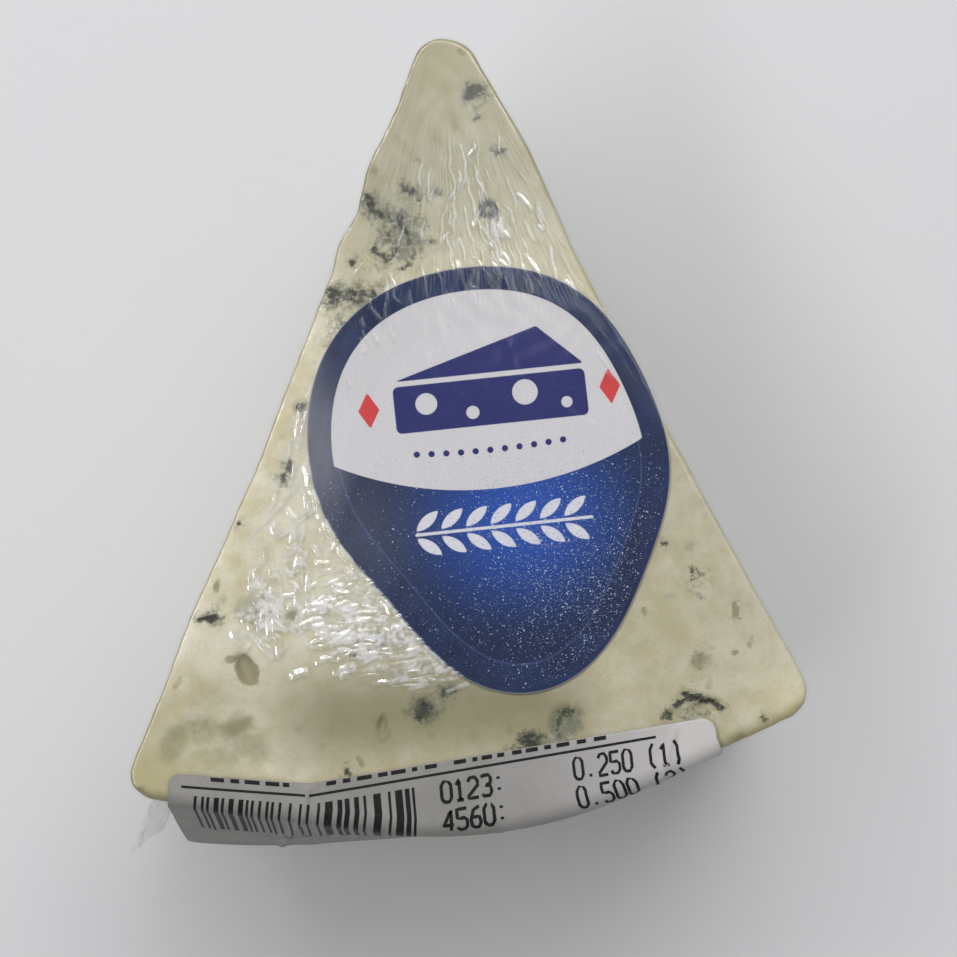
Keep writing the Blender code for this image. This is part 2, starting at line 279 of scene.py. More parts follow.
def wedge_skin(columns, top_shares, rows, lift, bulge=0.0):
    """Points and outward normals of the wedge's whole skin, as rows of columns.

    Rows run from the middle of the top face out to the rim, at the given shares of the way,
    round a quarter turn of the rim, down the wall, round the lower rim and in to the middle
    of the underside. Lift is the distance off the CAD solid, and bulge moves the upper rim
    outwards, fading down the wall.
    """
    rim, wall, foot, base = rows
    top = len(top_shares)
    outline, normal, _ = plan_outline(columns)
    inwards = drawn_in(outline, normal)
    quarter = math.pi / 2
    tilt = np.concatenate([
        np.zeros(top),
        np.linspace(0, quarter, rim + 1)[1:],
        np.full(wall, quarter),
        np.linspace(quarter, 2 * quarter, foot + 1)[1:],
        np.full(base, 2 * quarter),
    ])[:, None]
    share = np.ones((len(tilt), 1))
    share[:top, 0] = top_shares
    share[-base:, 0] = np.linspace(1, 0, base + 2)[1:-1]
    cut_rim = LEFT_RIM + (RIGHT_RIM - LEFT_RIM) * soft_step((normal[:, 0] + 0.3) / 0.6)
    upper_rim = cut_rim + (RIM_RADIUS - cut_rim) * soft_step((-normal[:, 1] - 0.45) / 0.3)
    upper = tilt < quarter * 1.01
    bend = np.where(upper, upper_rim, RIM_RADIUS)
    stand = bend + np.where(upper, lift, min(lift, 0))
    height = np.where(upper, THICKNESS - bend, bend) + stand * np.cos(tilt)
    down = np.linspace(0, 1, wall + 1)[1:, None]
    height[top + rim : top + rim + wall] = (THICKNESS - upper_rim) * (1 - down) + RIM_RADIUS * down
    hang = bulge * np.exp(-(((THICKNESS - height) / (9 * MM)) ** 2))
    out = -bend + (bend + lift) * np.sin(tilt) - inwards + wall_wave(outline, height) + hang
    plan = outline + normal * out[..., None]
    plan = SKIN_MIDDLE + (plan - SKIN_MIDDLE) * share[..., None]
    height = np.broadcast_to(height, out.shape)
    side = np.sin(tilt)[..., None] * normal
    up = np.broadcast_to(np.cos(tilt), out.shape)
    return np.dstack([plan, height]), np.dstack([side, up])


def mesh_of(name, points, quads, triangles=()):
    """Smooth mesh from an array of points and the point numbers of its faces."""
    quads, triangles = np.asarray(quads, int).reshape(-1, 4), np.asarray(triangles, int).reshape(-1, 3)
    corners = np.concatenate([quads.ravel(), triangles.ravel()]).astype(np.int32)
    sizes = np.concatenate([np.full(len(quads), 4), np.full(len(triangles), 3)])
    mesh = bpy.data.meshes.new(name)
    mesh.vertices.add(len(points))
    mesh.vertices.foreach_set("co", np.asarray(points, np.float32).ravel())
    mesh.loops.add(len(corners))
    mesh.loops.foreach_set("vertex_index", corners)
    mesh.polygons.add(len(sizes))
    mesh.polygons.foreach_set("loop_start", np.concatenate([[0], np.cumsum(sizes)[:-1]]).astype(np.int32))
    mesh.update(calc_edges=True)
    mesh.validate()
    mesh.shade_smooth()
    return mesh


def round_skin_mesh(name, grid):
    """Closed mesh of a skin grid: its rows joined round, and a fan of triangles at each pole."""
    rows, columns = grid.shape[:2]
    points = np.vstack([grid.reshape(-1, 3), grid[0].mean(axis=0), grid[-1].mean(axis=0)])
    i, j = np.meshgrid(np.arange(rows - 1), np.arange(columns), indexing="ij")
    k = (j + 1) % columns
    this, below = i * columns, (i + 1) * columns
    quads = np.stack([this + j, below + j, below + k, this + k], axis=-1)
    j, k = j[0], k[0]
    last = (rows - 1) * columns
    head = np.column_stack([np.full(columns, rows * columns), j, k])
    foot = np.column_stack([last + j, np.full(columns, rows * columns + 1), last + k])
    return mesh_of(name, points, quads, np.vstack([head, foot]))


def give(mesh, name, values):
    """Stores one number a point, for the material to read."""
    stored_values = mesh.attributes.new(name, "FLOAT", "POINT").data
    stored_values.foreach_set("value", values.astype(np.float32).ravel())


def give_skin(mesh, **fields):
    """Stores fields worked out on a skin grid, each with a value of its own for the two poles."""
    for name, values in fields.items():
        give(mesh, name, np.concatenate([values.ravel(), [values[0].mean(), values[-1].mean()]]))


def show(name, mesh, material, slot, *replaced):
    """Puts a finished mesh in the scene as a piece that rides on the part."""
    piece = bpy.data.objects.new(name, mesh)
    bpy.context.scene.collection.objects.link(piece)
    piece.data.materials.append(material)
    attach(piece, "root")
    if replaced:
        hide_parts(*replaced)
    return piece


def paint(red, green, blue):
    """Colour as a shader takes it, from 0 to 255 as the eye sees it."""
    seen = np.array([red, green, blue]) / 255
    linear = np.where(seen < 0.04045, seen / 12.92, ((seen + 0.055) / 1.055) ** 2.4)
    return (*linear.tolist(), 1.0)


def node(tree, kind, sockets=None, **settings):
    """New node of a material, each named socket linked to an output or set to a value."""
    made = tree.nodes.new(kind)
    for key, value in settings.items():
        setattr(made, key, value)
    for key, value in (sockets or {}).items():
        if isinstance(value, bpy.types.NodeSocket):
            tree.links.new(value, made.inputs[key])
        else:
            made.inputs[key].default_value = value
    return made


def new_finish(name):
    """Empty material: the material, its nodes and its output node."""
    material = bpy.data.materials.new(name)
    material.use_nodes = True
    material.node_tree.nodes.clear()
    return material, material.node_tree, node(material.node_tree, "ShaderNodeOutputMaterial")


def stored(tree, name):
    return node(tree, "ShaderNodeAttribute", attribute_name=name).outputs["Fac"]


def calc(tree, operation, *values, clamp=False):
    sockets = dict(enumerate(values))
    return node(tree, "ShaderNodeMath", sockets, operation=operation, use_clamp=clamp).outputs[0]


def object_place(tree):
    """Place on the piece in metres, the same from every side."""
    return node(tree, "ShaderNodeTexCoord").outputs["Object"]


def grain(tree, place, scale, detail=3.0, rough=0.55):
    """Noise from 0 to 1 around one half; scale is in waves a metre."""
    sockets = {"Vector": place, "Scale": scale, "Detail": detail, "Roughness": rough}
    return node(tree, "ShaderNodeTexNoise", sockets).outputs["Fac"]


def speckles(tree, place, scale, size, rarity):
    """1 in small round spots of some cells and 0 between them; size is a share of a cell."""
    cells = node(tree, "ShaderNodeTexVoronoi", {"Vector": place, "Scale": scale})
    chosen = node(tree, "ShaderNodeSeparateColor", {0: cells.outputs["Color"]}).outputs[0]
    spot = between(tree, cells.outputs["Distance"], size, size * 0.4)
    return calc(tree, "MULTIPLY", spot, between(tree, chosen, rarity, min(rarity + 0.2, 1.0)))


def between(tree, value, low, high, start=0.0, end=1.0):
    """Smooth climb of a value from start at low to end at high."""
    sockets = {"Value": value, "From Min": low, "From Max": high, "To Min": start, "To Max": end}
    return node(tree, "ShaderNodeMapRange", sockets, interpolation_type="SMOOTHSTEP").outputs[0]


def layer(tree, share, below, above):
    """Colour above laid over colour below by a share from 0 to 1."""
    return node(tree, "ShaderNodeMix", {0: share, 6: below, 7: above}, data_type="RGBA").outputs[2]


def raised(tree, height, strength, distance):
    """Fine relief of a surface; distance is the height in metres of a full step."""
    sockets = {"Strength": strength, "Distance": distance, "Height": height}
    return node(tree, "ShaderNodeBump", sockets).outputs[0]


def opaque(tree, output, colour, roughness, specular, bump=None):
    """Solid surface of a colour, a roughness and a share of gloss, with relief where it has any."""
    sockets = {"Base Color": colour, "Roughness": roughness, "Specular IOR Level": specular}
    if bump:
        sockets["Normal"] = bump
    shader = node(tree, "ShaderNodeBsdfPrincipled", sockets)
    tree.links.new(shader.outputs[0], output.inputs["Surface"])


def turned(x, y, cx, cy, degrees):
    """Distances along and across a turned line through a centre."""
    c, s = math.cos(math.radians(degrees)), math.sin(math.radians(degrees))
    return (x - cx) * c + (y - cy) * s, (y - cy) * c - (x - cx) * s


def blots_at(x, y, blots, more=0.0):
    """Strongest of the blots at each place, in mm: full inside an oval, gone half as far out again.

    More is added to their length and width, for the cloud round each of them.
    """
    field = np.zeros_like(x)
    for cx, cy, length, width, turn, strength in blots:
        along, across = turned(x, y, cx, cy, turn)
        reach = np.hypot(along / (max(length, 0.8) + more) * 2, across / (max(width, 0.8) + more) * 2)
        field = np.maximum(field, strength * soft_step((1.55 - reach) / 1.1))
    return field


def streaks_at(x, y, streaks, more=0.0):
    """Strongest of the streaks at each place: full on a line through points, gone past its width."""
    field = np.zeros_like(x)
    for points, width, strength in streaks:
        width = max(width, 0.7) + more
        for (ax, ay), (bx, by) in zip(points, points[1:]):
            length2 = (bx - ax) ** 2 + (by - ay) ** 2
            t = np.clip(((x - ax) * (bx - ax) + (y - ay) * (by - ay)) / length2, 0, 1)
            off = np.hypot(x - ax - t * (bx - ax), y - ay - t * (by - ay))
            field = np.maximum(field, strength * soft_step((1.5 - off / (width / 2)) / 1.1))
    return field


def wandering(x, y, size):
    """Slow sideways drift, in mm, that makes round shapes uneven."""
    dx = np.sin(x * 1.7 + 2.1 * np.sin(y * 0.9)) + 0.6 * np.sin(y * 3.1 + x * 1.3)
    dy = np.cos(y * 1.9 + 1.7 * np.sin(x * 1.1)) + 0.6 * np.cos(x * 2.7 - y * 1.9)
    return x + size * dx, y + size * dy


def pocket_depth(x, y):
    """Depth of the open pockets at each place, in metres: rounded bowls with a soft lip."""
    depth = np.zeros_like(x)
    for cx, cy, length, width, deep, turn in POCKETS:
        along, across = turned(x, y, cx, cy, turn)
        reach = np.hypot(along / (length / 2), across / (width / 2))
        depth = np.maximum(depth, deep * MM * soft_step((1.1 - reach) / 0.7))
    return depth


# The plan's own origin is off the middle of the part's box: the CAD wedge says by how much
levels = np.linspace(RIM_RADIUS, THICKNESS - RIM_RADIUS, 6)[:, None]
fine_outline, fine_normal, _ = plan_outline(PLAN_COLUMNS)
fine_stand = wall_wave(fine_outline, levels) - drawn_in(fine_outline, fine_normal)
fine_walls = fine_outline + fine_normal * fine_stand[..., None]
plan_shift = np.array([*(np.array(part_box("wrapped_cheese")[0])[:2] - fine_walls.min(axis=(0, 1))), 0.0])

cheese_grid, cheese_normal = wedge_skin(CHEESE_COLUMNS, CHEESE_SHARES, CHEESE_ROWS, -CHEESE_INSET)
x, y = cheese_grid[..., 0] / MM, cheese_grid[..., 1] / MM
on_top = soft_step(cheese_normal[..., 2] * 1.8)
facing_rind = -unit(cheese_normal[..., :2] + 1e-9)[..., 1]
on_rind = soft_step((facing_rind - 0.35) / 0.4) * (1 - np.abs(cheese_normal[..., 2]) ** 4)

drift_x, drift_y = wandering(x, y, 0.16)
(ring_x, ring_y), ring_radius, ring_width, ring_strength = MOULD_RING
round_ring = np.linspace(0, 2 * math.pi, 13)
ring_line = [(ring_x + ring_radius * math.sin(a), ring_y + ring_radius * math.cos(a)) for a in round_ring]
ring_streak = (ring_line, ring_width, ring_strength)
mould = np.maximum(blots_at(drift_x, drift_y, MOULD_BLOTS), streaks_at(drift_x, drift_y, MOULD_STREAKS))
mould = np.maximum(mould, streaks_at(x, y, [ring_streak])) * on_top
halo = np.maximum(
    blots_at(drift_x, drift_y, MOULD_BLOTS, 1.3),
    streaks_at(drift_x, drift_y, [*MOULD_STREAKS, ring_streak], 1.0),
) * on_top
smoke = blots_at(*wandering(x, y, 0.3), SMOKE_BLOTS, 0.6) * on_top
veil = blots_at(drift_x, drift_y, VEIL_BLOTS) * on_top
olive = blots_at(drift_x, drift_y, OLIVE_BLOTS) * on_top
brown = blots_at(drift_x, drift_y, BROWN_BLOTS) * on_top
cut_wall = np.clip(1 - on_rind - on_top, 0, 1)
on_base = soft_step(-cheese_normal[..., 2] * 1.4)
# Painted shade along the upper rims: the paste darker where the rim turns away from the light, strongest on
# the left side
tight_rim = soft_step((0.97 - cheese_normal[..., 2]) / 0.2) * soft_step((cheese_normal[..., 2] - 0.02) / 0.2)
tight_rim = tight_rim * (0.12 + 0.88 * soft_step((0.25 - cheese_normal[..., 0]) / 0.6))

# Yellower towards the rind and its two corners, as dried paste is
left_corner = np.exp(-(((x + 37) / 5.5) ** 2 + ((y + 30) / 6.5) ** 2))
right_corner = 0.3 * np.exp(-(((x - 32) / 5.0) ** 2 + ((y + 26) / 6.0) ** 2))
apex = 0.35 * np.exp(-(((x + 1) / 6.0) ** 2 + ((y - 46) / 4.5) ** 2))
rind_tint = np.clip(left_corner + right_corner + apex + 0.8 * on_rind, 0, 1)
# Painted shade, not the paste's own colour: darker in a low band by the middle of the rind, over the upper
# part towards the point, on the right side and at the lower left
low_shadow_band = soft_step((x + 31) / 16) * soft_step((22 - x) / 18) * np.exp(-(((y + 24.5) / 6.0) ** 2))
right_shade = 0.46 * soft_step((x - 4) / 12) * (1 - 0.9 * right_corner / 0.3)
left_shade = 0.36 * soft_step((-14 - y) / 9) * soft_step((-16 - x) / 12)
dull = np.maximum.reduce([low_shadow_band, 0.68 * soft_step((y - 14) / 20), right_shade, left_shade]) * (1 - on_base)

# Under the label the paste meets it; elsewhere it rolls by a few hundredths of a mm
roll = 0.035 * np.sin(x * 0.9 + 1.3 * np.sin(y * 0.5)) * np.cos(y * 0.8) + 0.02 * np.sin(x * 2.3 + y * 1.7)
sunk = pocket_depth(x, y) * on_top + 0.06 * MM * mould
cheese_grid = cheese_grid + cheese_normal * (roll * MM * (1 - on_base) - sunk)[..., None]

cheese_mesh = round_skin_mesh("cheese", cheese_grid + plan_shift)
give_skin(cheese_mesh, mould=mould, halo=halo, veil=veil, olive=olive, brown=brown, rind=rind_tint)
give_skin(cheese_mesh, dull=dull, smoke=smoke, cut_wall=cut_wall, tight_rim=tight_rim)

cheese_finish, tree, output = new_finish("blue_veined_cheese")
place = object_place(tree)
broad = grain(tree, place, 120, 3, 0.6)
curd = grain(tree, place, 420, 3, 0.62)
crumb = grain(tree, place, 2600, 2, 0.7)
edge_noise = calc(tree, "SUBTRACT", grain(tree, place, 1500, 3, 0.85), 0.5)
colour = layer(tree, between(tree, broad, 0.32, 0.68), paint(206, 198, 164), paint(221, 216, 196))
colour = layer(tree, between(tree, curd, 0.45, 0.7, 0.0, 0.6), colour, paint(230, 227, 212))
colour = layer(tree, between(tree, curd, 0.5, 0.3, 0.0, 0.5), colour, paint(194, 186, 148))
colour = layer(tree, between(tree, crumb, 0.5, 0.3, 0.0, 0.22), colour, paint(180, 172, 138))
colour = layer(tree, calc(tree, "MULTIPLY", stored(tree, "rind"), 0.8), colour, paint(188, 178, 124))
# Painted shade: a darker copy of the paste laid over it where dull is set
dull_paste = layer(tree, curd, paint(134, 129, 99), paint(150, 145, 114))
colour = layer(tree, stored(tree, "dull"), colour, dull_paste)
# Painted shade along the upper rims
colour = layer(tree, calc(tree, "MULTIPLY", stored(tree, "tight_rim"), 0.6), colour, paint(124, 120, 96))
fleck = speckles(tree, place, 330, 0.2, 0.8)
colour = layer(tree, calc(tree, "MULTIPLY", fleck, 0.5), colour, paint(138, 134, 104))
veins = grain(tree, place, 230, 4, 0.66)
vein_bed = calc(tree, "MULTIPLY", stored(tree, "cut_wall"), between(tree, veins, 0.54, 0.66))
colour = layer(tree, calc(tree, "MULTIPLY", vein_bed, 0.6), colour, paint(146, 148, 126))
vein_core = calc(tree, "MULTIPLY", stored(tree, "cut_wall"), between(tree, veins, 0.62, 0.72))
colour = layer(tree, calc(tree, "MULTIPLY", vein_core, 0.85), colour, paint(66, 72, 58))
for name, spread, low, high, most, shade in (
    ("veil", 0.8, 0.10, 0.85, 0.60, paint(142, 144, 124)),
    ("smoke", 2.6, 0.25, 1.05, 0.72, paint(98, 101, 84)),
    ("halo", 2.0, 0.35, 1.10, 0.50, paint(112, 113, 90)),
    ("olive", 0.5, 0.00, 1.00, 0.85, paint(122, 120, 86)),
    ("brown", 0.7, 0.20, 0.52, 0.80, paint(140, 132, 98)),
    ("mould", 2.2, 0.15, 0.75, 0.84, paint(76, 78, 58)),
    ("mould", 2.6, 0.45, 1.05, 0.94, paint(32, 34, 24)),
):
    worn = calc(tree, "ADD", stored(tree, name), calc(tree, "MULTIPLY", edge_noise, spread))
    strength = between(tree, worn, low, high, 0.0, most)
    held = calc(tree, "MULTIPLY", strength, between(tree, stored(tree, name), 0.0, 0.15))
    colour = layer(tree, held, colour, shade)
crumb_relief = raised(tree, crumb, 0.5, 0.05 * MM)
opaque(tree, output, colour, between(tree, crumb, 0.2, 0.8, 0.42, 0.62), 0.35, crumb_relief)
show("cheese", cheese_mesh, cheese_finish, "wrapped_cheese", "wrapped_cheese")


# The front label: one printed sheet stuck on the top face under the film, round-topped and
# narrowing to a blunt foot, its right edge bent down over the rim.

GAP = 0.3 * MM
LABEL_SHEET = 0.06 * MM
LABEL_LIFT = 0.12 * MM
LABEL_CENTRE = SKIN_MIDDLE
LABEL_RADII = np.array([21.4, 20.8, 18.9, 18.7, 19.0, 22.2, 23.7, 19.1, 17.7, 19.0, 20.9, 21.8]) * MM
LABEL_TURN = math.radians(3)
LABEL_COLUMNS = 440
LABEL_ROWS = 112

# The print, in mm: the navy ring's width, three points of the white window's curved foot, and
# the holes of the small wedge drawn in it, each with its radius
RING_WIDTH = 2.5
WINDOW_FOOT = ((-15.0, 2.0), (-0.1, -1.2), (17.9, 3.6))
DRAWN_HOLES = ((-6.2, 7.3, 1.15), (-1.4, 5.9, 0.7), (4.3, 7.5, 1.35), (8.6, 6.0, 0.6))


def label_radius(angle):
    """Radius of the label at a clockwise angle from its top: the smooth closed curve of its radii."""
    waves = np.fft.rfft(LABEL_RADII) / len(LABEL_RADII)
    radius = np.full_like(angle, waves[0].real)
    for k in range(1, len(waves)):
        share = 1 if 2 * k == len(LABEL_RADII) else 2
        radius += share * (waves[k] * np.exp(1j * k * angle)).real
    return radius


def distance_past_rim(points):
    """Distance of plan points beyond the line where the right cut side's rim starts to turn down."""
    side = PLAN_CORNERS[0] - PLAN_CORNERS[3]
    outward = unit(np.array([side[1], -side[0]]))
    return (points - PLAN_CORNERS[3]) @ outward + RIM_RADIUS


def rim_drop(past):
    """How far a sheet that follows the top rim lies below the top, by its distance past the rim's start."""
    radius = RIM_RADIUS + GAP
    past = np.clip(past, 0, 0.9 * radius)
    return radius - np.sqrt(radius**2 - past**2)


def distance_to_line(flat, line):
    """Distance of a list of plan points from the nearest stretch of a closed line of points."""
    near = np.full(len(flat), np.inf)
    for a, b in zip(line, np.roll(line, -1, axis=0)):
        t = np.clip((flat - a) @ (b - a) / ((b - a) @ (b - a)), 0, 1)
        near = np.minimum(near, np.hypot(*(flat - a - t[:, None] * (b - a)).T))
    return near


def label_edge_distance(points):
    """Distance of plan points from the label's outline, below 0 outside it."""
    angle = np.linspace(0, 2 * math.pi, 360, endpoint=False)
    edge = LABEL_CENTRE + np.column_stack([np.sin(angle), np.cos(angle)]) * label_radius(angle)[:, None]
    flat = points.reshape(-1, 2)
    near = distance_to_line(flat, edge)
    spoke = flat - LABEL_CENTRE
    inside = np.hypot(*spoke.T) < label_radius(np.arctan2(spoke[:, 0], spoke[:, 1]))
    return np.where(inside, near, -near).reshape(points.shape[:-1])


def circle_through(a, b, c):
    """Centre and radius of the circle through three plan points."""
    rows = 2 * np.array([np.subtract(b, a), np.subtract(c, a)])
    centre = np.linalg.solve(rows, [np.dot(b, b) - np.dot(a, a), np.dot(c, c) - np.dot(a, a)])
    return centre, np.hypot(*(centre - a))


def in_box(u, v, cu, cv, half_width, half_height, corner=0.0):
    """Distance inside an upright box with round corners, below 0 outside it."""
    du = np.abs(u - cu) - half_width + corner
    dv = np.abs(v - cv) - half_height + corner
    return corner - np.hypot(np.maximum(du, 0), np.maximum(dv, 0)) - np.minimum(np.maximum(du, dv), 0)


def in_convex(u, v, corners):
    """Distance inside a convex outline given counter-clockwise, below 0 outside it."""
    inside = np.full_like(u, np.inf)
    for (au, av), (bu, bv) in zip(corners, corners[1:] + corners[:1]):
        length = math.hypot(bu - au, bv - av)
        inside = np.minimum(inside, ((bu - au) * (v - av) - (bv - av) * (u - au)) / length)
    return inside


def in_leaf(u, v, cu, cv, length, width, turn):
    """Distance inside a leaf, the overlap of two equal circles, below 0 outside it."""
    along, across = turned(u, v, cu, cv, turn)
    radius = (length**2 + width**2) / (4 * width)
    offset = radius - width / 2
    return radius - np.maximum(np.hypot(along, across - offset), np.hypot(along, across + offset))


spin = np.linspace(0, 2 * math.pi, LABEL_COLUMNS, endpoint=False)[::-1]
spokes = np.column_stack([np.sin(spin), np.cos(spin)]) * label_radius(spin)[:, None]
share = np.concatenate([
    np.arange(1, LABEL_ROWS + 1) / LABEL_ROWS,
    [1.0015, 1.0015, 1.0],
    np.linspace(1, 0, 9)[1:-1],
])
rise = np.concatenate([np.ones(LABEL_ROWS), [0.75, 0.25, 0.0], np.zeros(7)]) * LABEL_SHEET
label_plan = LABEL_CENTRE + spokes * share[:, None, None]
label_height = THICKNESS + LABEL_LIFT - rim_drop(distance_past_rim(label_plan)) + rise[:, None]
label_mesh = round_skin_mesh("front_label_sheet", np.dstack([label_plan, label_height]) + plan_shift)

# Printed fields as distances in mm from their edges, in the label's own turned axes
c, s = math.cos(LABEL_TURN), math.sin(LABEL_TURN)
across = (label_plan - LABEL_CENTRE) / MM
u, v = across[..., 0] * c + across[..., 1] * s, across[..., 1] * c - across[..., 0] * s
from_edge = label_edge_distance(label_plan) / MM
foot_centre, foot_radius = circle_through(*WINDOW_FOOT)
from_foot = np.hypot(label_plan[..., 0] / MM - foot_centre[0], label_plan[..., 1] / MM - foot_centre[1])
above_foot = foot_radius - from_foot
window = np.minimum(from_edge - RING_WIDTH, above_foot)

wedge_front = in_box(u, v, 0.6, 6.9, 10.2, 2.5, 0.6)
for hole_u, hole_v, hole_radius in DRAWN_HOLES:
    wedge_front = np.minimum(wedge_front, np.hypot(u - hole_u, v - hole_v) - hole_radius)
wedge_top = in_convex(u, v, [(-9.4, 9.95), (10.8, 9.95), (6.2, 14.4)])
motif = np.maximum(wedge_front, wedge_top)
for i in range(11):
    motif = np.maximum(motif, 0.34 - np.hypot(u - (i - 5) * 1.55, v - 1.75 - 0.012 * (i - 5) ** 2))
lozenges = np.full_like(u, -9.0)
for lozenge_u in (-12.3, 13.3):
    lozenges = np.maximum(lozenges, 1.35 - (np.abs(u - lozenge_u) * 1.2 + np.abs(v - 7.2) * 0.7))
sprig = in_box(u, v, 0.6, -6.4, 9.4, 0.16, 0.1)
for i in range(7):
    for side in (-1, 1):
        leaf = in_leaf(u, v, -7.4 + i * 2.6, -6.4 + side * 1.35, 3.1, 1.15, 38 * side)
        sprig = np.maximum(sprig, leaf)
glow = np.hypot(u - 2.6, (v + 5.6) * 1.15)
give_skin(label_mesh, from_edge=from_edge, window=window, motif=motif)
give_skin(label_mesh, lozenges=lozenges, sprig=sprig, glow=glow)


def printed(tree, name, blur=0.045):
    """1 inside a printed field and 0 outside it, with the width of a soft printed edge in mm."""
    return between(tree, stored(tree, name), -blur, blur)


label_finish, tree, output = new_finish("front_label_print")
place = object_place(tree)
dots = grain(tree, place, 5200, 2, 0.6)
cloud = grain(tree, place, 240, 3, 0.55)
ring_blue = layer(tree, between(tree, cloud, 0.3, 0.7), paint(15, 31, 68), paint(26, 45, 88))
lit = between(tree, stored(tree, "glow"), 16.0, 0.5)
field_blue = layer(tree, lit, paint(14, 33, 70), paint(26, 76, 168))
in_field = between(tree, stored(tree, "from_edge"), RING_WIDTH + 0.35, RING_WIDTH + 0.75)
colour = layer(tree, in_field, ring_blue, field_blue)
hairline = calc(tree, "ABSOLUTE", calc(tree, "SUBTRACT", stored(tree, "from_edge"), RING_WIDTH + 0.5))
colour = layer(tree, between(tree, hairline, 0.16, 0.02, 0.0, 0.3), colour, paint(84, 104, 158))
colour = layer(tree, printed(tree, "window"), colour, paint(207, 205, 208))
colour = layer(tree, printed(tree, "motif"), colour, paint(34, 38, 104))
colour = layer(tree, printed(tree, "lozenges"), colour, paint(206, 62, 58))
colour = layer(tree, printed(tree, "sprig"), colour, paint(214, 214, 222))
colour = layer(tree, between(tree, dots, 0.45, 0.75, 0.0, 0.16), colour, paint(80, 104, 160))
paper_edge = between(tree, stored(tree, "from_edge"), 0.07, 0.02, 0.0, 0.6)
colour = layer(tree, paper_edge, colour, paint(170, 172, 184))
fibre = raised(tree, dots, 0.25, 0.03 * MM)
opaque(tree, output, colour, between(tree, dots, 0.2, 0.8, 0.38, 0.55), 0.15, fibre)
show("front_label_sheet", label_mesh, label_finish, "front_label", "front_label")


# The film: one layer of clear cling film drawn tight round cheese and label. It is gathered
# towards the point, pulled under the wedge in upright folds, and stands off as a low tent where
# it passes over the label's edge.

FILM_LIFT = 0.12 * MM
FILM_COLUMNS = 700
FILM_SHARES = np.linspace(0, 1, 105)[1:] ** 0.8
FILM_ROWS = (6, 20, 3, 8)
FILM_OVER_LABEL = 0.12 * MM
FAN_HEAD = np.array([-1.35, 50.8])
FAN_LEAN = 3
WALL_FOLDS = 130
CORNER_COLUMNS = [30, 250, 480]
CORNER_FOLDS = 8

# Threads of the fan: the place across is measured as on an arc this far from its head, in mm,
# and the place along counts as this share of its length, so that threads are long and thin
FAN_ARC = 38
THREAD_SHARE = 0.11

# However flat the view on it, the film mirrors no more than this share
MIRROR_MOST = 0.28

# Past the right rim, how far the film stands off the label's edge, how far along the rim each
# place of that edge holds it out, and how steeply it comes back to the rim from there
EDGE_STANDOFF = 0.45 * MM
EDGE_REACH = 0.8 * MM
EDGE_SLOPE = 0.1

# Where the film is pulled into fans of threads and looks whiter, and where it is a little milky
# over the label: centre and reach in mm along X and Y, and strength
PULLED = (
    (7.5, 26.0, 8.0, 8.5, 1.0),
    (-2.5, 28.0, 6.0, 8.0, 0.75),
    (17.5, 14.0, 4.0, 9.0, 0.6),
    (-17.5, 6.0, 3.5, 12.0, 0.8),
    (-14.0, 18.0, 3.0, 7.0, 0.5),
    (-20.0, -6.0, 4.0, 7.0, 0.7),
)
BLOOMED = ((-16.5, 4.0, 3.0, 8.0, 0.15), (-13.0, -5.0, 6.0, 7.0, 0.04))


def fan_place(angle, reach):
    """Plan point in mm on the fan of pulled folds: degrees from straight down, and distance."""
    turn = np.radians(np.asarray(angle) - FAN_LEAN)
    return np.stack([FAN_HEAD[0] + reach * np.sin(turn), FAN_HEAD[1] - reach * np.cos(turn)], axis=-1)


def sized(slope, width, count, draw):
    """Heights and widths in mm of folds whose flanks have slopes in a range."""
    wide = draw.uniform(*width, count)
    return draw.uniform(*slope, count) * wide, wide


def fan_folds(count, angle, reach, length, slope, width, jitter, draw):
    """Folds along the fan's spokes: start and end, bend, height and width, all in mm.

    Angle is given as its mean and spread, the other sizes as their least and most.
    """
    a = draw.normal(*angle, count)
    r = draw.uniform(*reach, count)
    stretch = draw.uniform(*length, count)
    start, end = fan_place(a, r), fan_place(a + draw.normal(0, jitter, count), r + stretch)
    bend = draw.normal(0, 0.05, count) * stretch
    return np.column_stack([start, end, bend, *sized(slope, width, count, draw)])


def crumple_folds(count, centre, spread, length, turn, slope, width, draw):
    """Short folds scattered round a centre at about the same turn, in mm and degrees."""
    middle = np.array(centre) + draw.normal(0, 1, (count, 2)) * spread
    angle = np.radians(draw.normal(*turn, count))
    half = draw.uniform(*length, count)[:, None] / 2 * np.column_stack([np.cos(angle), np.sin(angle)])
    bend = draw.normal(0, 0.14, count) * np.hypot(*half.T)
    return np.column_stack([middle - half, middle + half, bend, *sized(slope, width, count, draw)])


def fold_height(x, y, folds, sharp=False):
    """Height of the folds at each place, in mm.

    A fold runs along a slightly bowed line and tapers to nothing at both ends. A soft fold's
    cross-section is a bell curve and soft folds add up. A sharp one has two straight flanks,
    one of them gentler, and the highest counts.
    """
    total = np.zeros_like(x)
    for ax, ay, bx, by, bend, height, width in folds:
        length = math.hypot(bx - ax, by - ay)
        ex, ey = (bx - ax) / length, (by - ay) / length
        along = ((x - ax) * ex + (y - ay) * ey) / length
        side = (y - ay) * ex - (x - ax) * ey
        near = (along > 0) & (along < 1) & (np.abs(side) < 3 * width + abs(bend))
        t = along[near]
        off = side[near] - bend * 4 * t * (1 - t)
        taper = np.sin(math.pi * t) ** 0.6
        if sharp:
            roof = 1 - np.where(off > 0, off / 1.5, -off) / width
            total[near] = np.maximum(total[near], height * np.maximum(roof, 0) * taper)
        else:
            total[near] += height * np.exp(-((off / width) ** 2)) * taper
    return total


